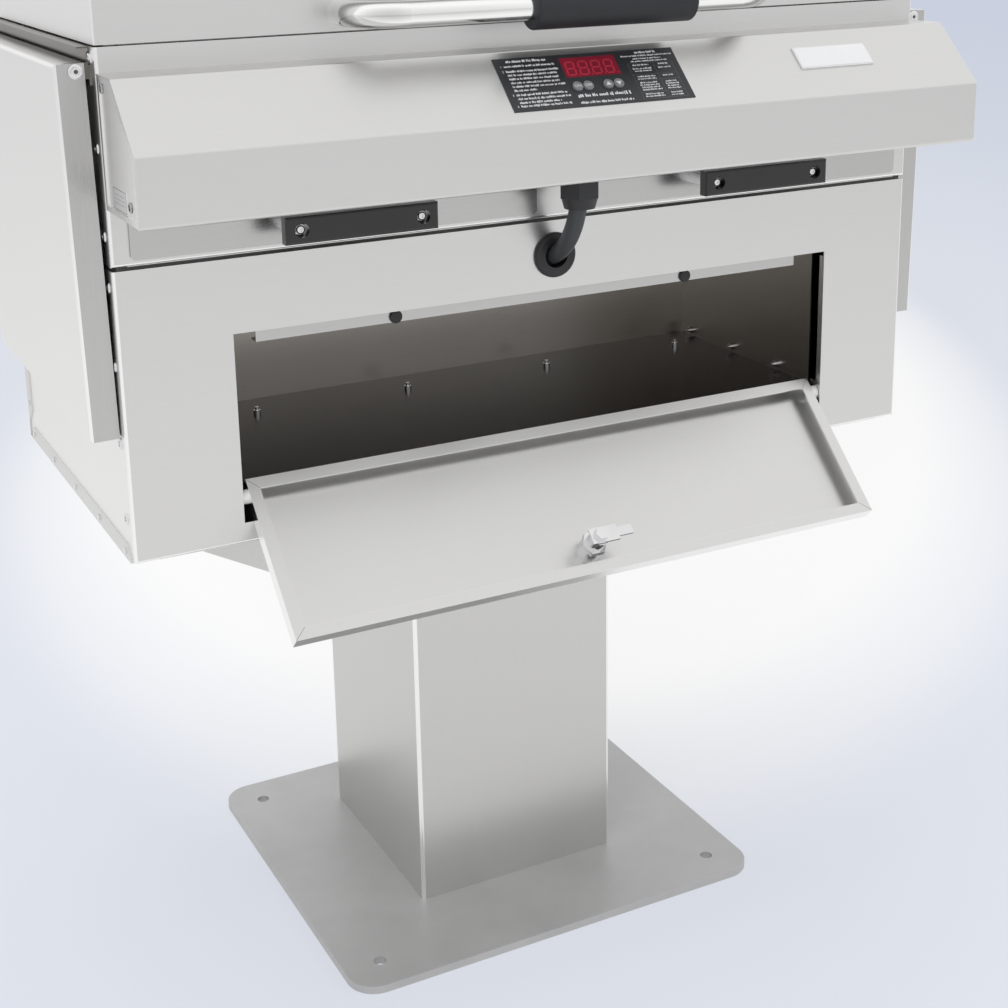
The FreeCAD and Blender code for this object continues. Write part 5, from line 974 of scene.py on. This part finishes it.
def make_floor():
    """A plain pale floor, white near the grill and paler blue further out, which keeps its shadow."""
    data = bpy.data.meshes.new("floor")
    reach = 60.0
    corners = [(-reach, -reach, 0), (reach, -reach, 0), (reach, reach, 0), (-reach, reach, 0)]
    data.from_pydata(corners, [], [(0, 1, 2, 3)])
    obj = bpy.data.objects.new("floor", data)
    scene.collection.objects.link(obj)
    mat, tree, shader = new_material("floor")
    coords = tree.nodes.new("ShaderNodeTexCoord")
    mapping = tree.nodes.new("ShaderNodeMapping")
    mapping.vector_type = "TEXTURE"
    mapping.inputs["Location"].default_value = (0.962, 1.754, 0.0)
    mapping.inputs["Rotation"].default_value = (0.0, 0.0, math.radians(-27.3))
    mapping.inputs["Scale"].default_value = (1.1, 2.2, 1.0)
    length = tree.nodes.new("ShaderNodeVectorMath")
    length.operation = "LENGTH"
    tree.links.new(coords.outputs["Object"], mapping.inputs["Vector"])
    tree.links.new(mapping.outputs["Vector"], length.inputs[0])
    distance = spread(tree, length.outputs["Value"], 0.0, 1.0, 0.0, 8.0)
    pale = ramp(tree, distance, FLOOR_TONES)
    neutral = ramp(tree, distance, [(0.1, (0.93, 0.93, 0.93)), (1.0, (0.86, 0.86, 0.87))])
    rays = tree.nodes.new("ShaderNodeLightPath")
    mirrored = combine(tree, "MAXIMUM", rays.outputs["Is Glossy Ray"], rays.outputs["Is Transmission Ray"])
    color = blend_colors(tree, mirrored, pale, neutral)
    tree.links.new(color, shader.inputs["Base Color"])
    shader.inputs["Roughness"].default_value = 0.9
    shader.inputs["Specular IOR Level"].default_value = 0.0
    glow = tree.nodes.new("ShaderNodeEmission")
    tree.links.new(color, glow.inputs["Color"])
    mix = tree.nodes.new("ShaderNodeMixShader")
    seen = combine(tree, "MAXIMUM", mirrored, rays.outputs["Is Camera Ray"])
    tree.links.new(combine(tree, "MULTIPLY", seen, 0.62), mix.inputs["Fac"])
    tree.links.new(shader.outputs["BSDF"], mix.inputs[1])
    tree.links.new(glow.outputs["Emission"], mix.inputs[2])
    tree.links.new(mix.outputs["Shader"], tree.nodes["Material Output"].inputs["Surface"])
    data.materials.append(mat)


def make_world():
    """Soft even light, and a white room for the eye and for reflections."""
    world = bpy.data.worlds.new("studio")
    scene.world = world
    world.use_nodes = True
    tree = world.node_tree
    lit = tree.nodes["Background"]
    lit.inputs["Color"].default_value = (1.0, 1.0, 1.0, 1.0)
    lit.inputs["Strength"].default_value = 0.6
    coords = tree.nodes.new("ShaderNodeTexCoord")
    split = tree.nodes.new("ShaderNodeSeparateXYZ")
    tree.links.new(coords.outputs["Generated"], split.inputs["Vector"])
    sky = ramp(tree, split.outputs["Z"], SKY_TONES)
    seen = tree.nodes.new("ShaderNodeBackground")
    tree.links.new(sky, seen.inputs["Color"])
    rays = tree.nodes.new("ShaderNodeLightPath")
    mirrored = combine(tree, "MAXIMUM", rays.outputs["Is Glossy Ray"], rays.outputs["Is Transmission Ray"])
    mix = tree.nodes.new("ShaderNodeMixShader")
    tree.links.new(combine(tree, "MAXIMUM", mirrored, rays.outputs["Is Camera Ray"]), mix.inputs["Fac"])
    tree.links.new(lit.outputs["Background"], mix.inputs[1])
    tree.links.new(seen.outputs["Background"], mix.inputs[2])
    tree.links.new(mix.outputs["Shader"], tree.nodes["World Output"].inputs["Surface"])


def make_lamp(name, place, aim, size, power, mirrored=False):
    """A large soft lamp that looks at a point."""
    data = bpy.data.lights.new(name, "AREA")
    data.shape = "RECTANGLE"
    data.size, data.size_y = size
    data.energy = power
    obj = bpy.data.objects.new(name, data)
    obj.location = place
    obj.rotation_euler = (Vector(aim) - Vector(place)).to_track_quat("-Z", "Y").to_euler()
    obj.visible_glossy = mirrored
    scene.collection.objects.link(obj)


CAMERA_PLACE = Vector((-0.72219, -1.50595, 1.03100))
CAMERA_TURNS = (26.9966, -15.1871, -1.0345)
CAMERA_LENS = 59.740


def make_camera():
    """The photograph's view, solved from the edges of the panels."""
    yaw, pitch, roll = [math.radians(turn) for turn in CAMERA_TURNS]
    ahead = Vector((math.sin(yaw) * math.cos(pitch), math.cos(yaw) * math.cos(pitch), math.sin(pitch)))
    level = Vector((math.cos(yaw), -math.sin(yaw), 0.0))
    above = level.cross(ahead)
    across = math.cos(roll) * level + math.sin(roll) * above
    upward = math.cos(roll) * above - math.sin(roll) * level
    lens = bpy.data.cameras.new("camera")
    lens.sensor_fit = "HORIZONTAL"
    lens.sensor_width = 36.0
    lens.lens = CAMERA_LENS
    lens.shift_y = -1.0 / 6.0
    lens.clip_start, lens.clip_end = 0.05, 200.0
    camera = bpy.data.objects.new("camera", lens)
    camera.matrix_world = basis(across, upward, -ahead, CAMERA_PLACE)
    scene.collection.objects.link(camera)
    scene.camera = camera


make_floor()
make_world()
make_lamp("key", (-2.4, -2.6, 3.0), (0.0, 0.0, 0.7), (2.2, 2.2), 50)
make_lamp("fill", (2.8, -2.2, 2.0), (0.0, 0.0, 0.7), (2.0, 2.4), 24)
make_lamp("top", (0.0, 0.4, 3.4), (0.0, 0.0, 0.9), (2.6, 2.0), 30)
make_camera()
scene.view_settings.view_transform = "Standard"
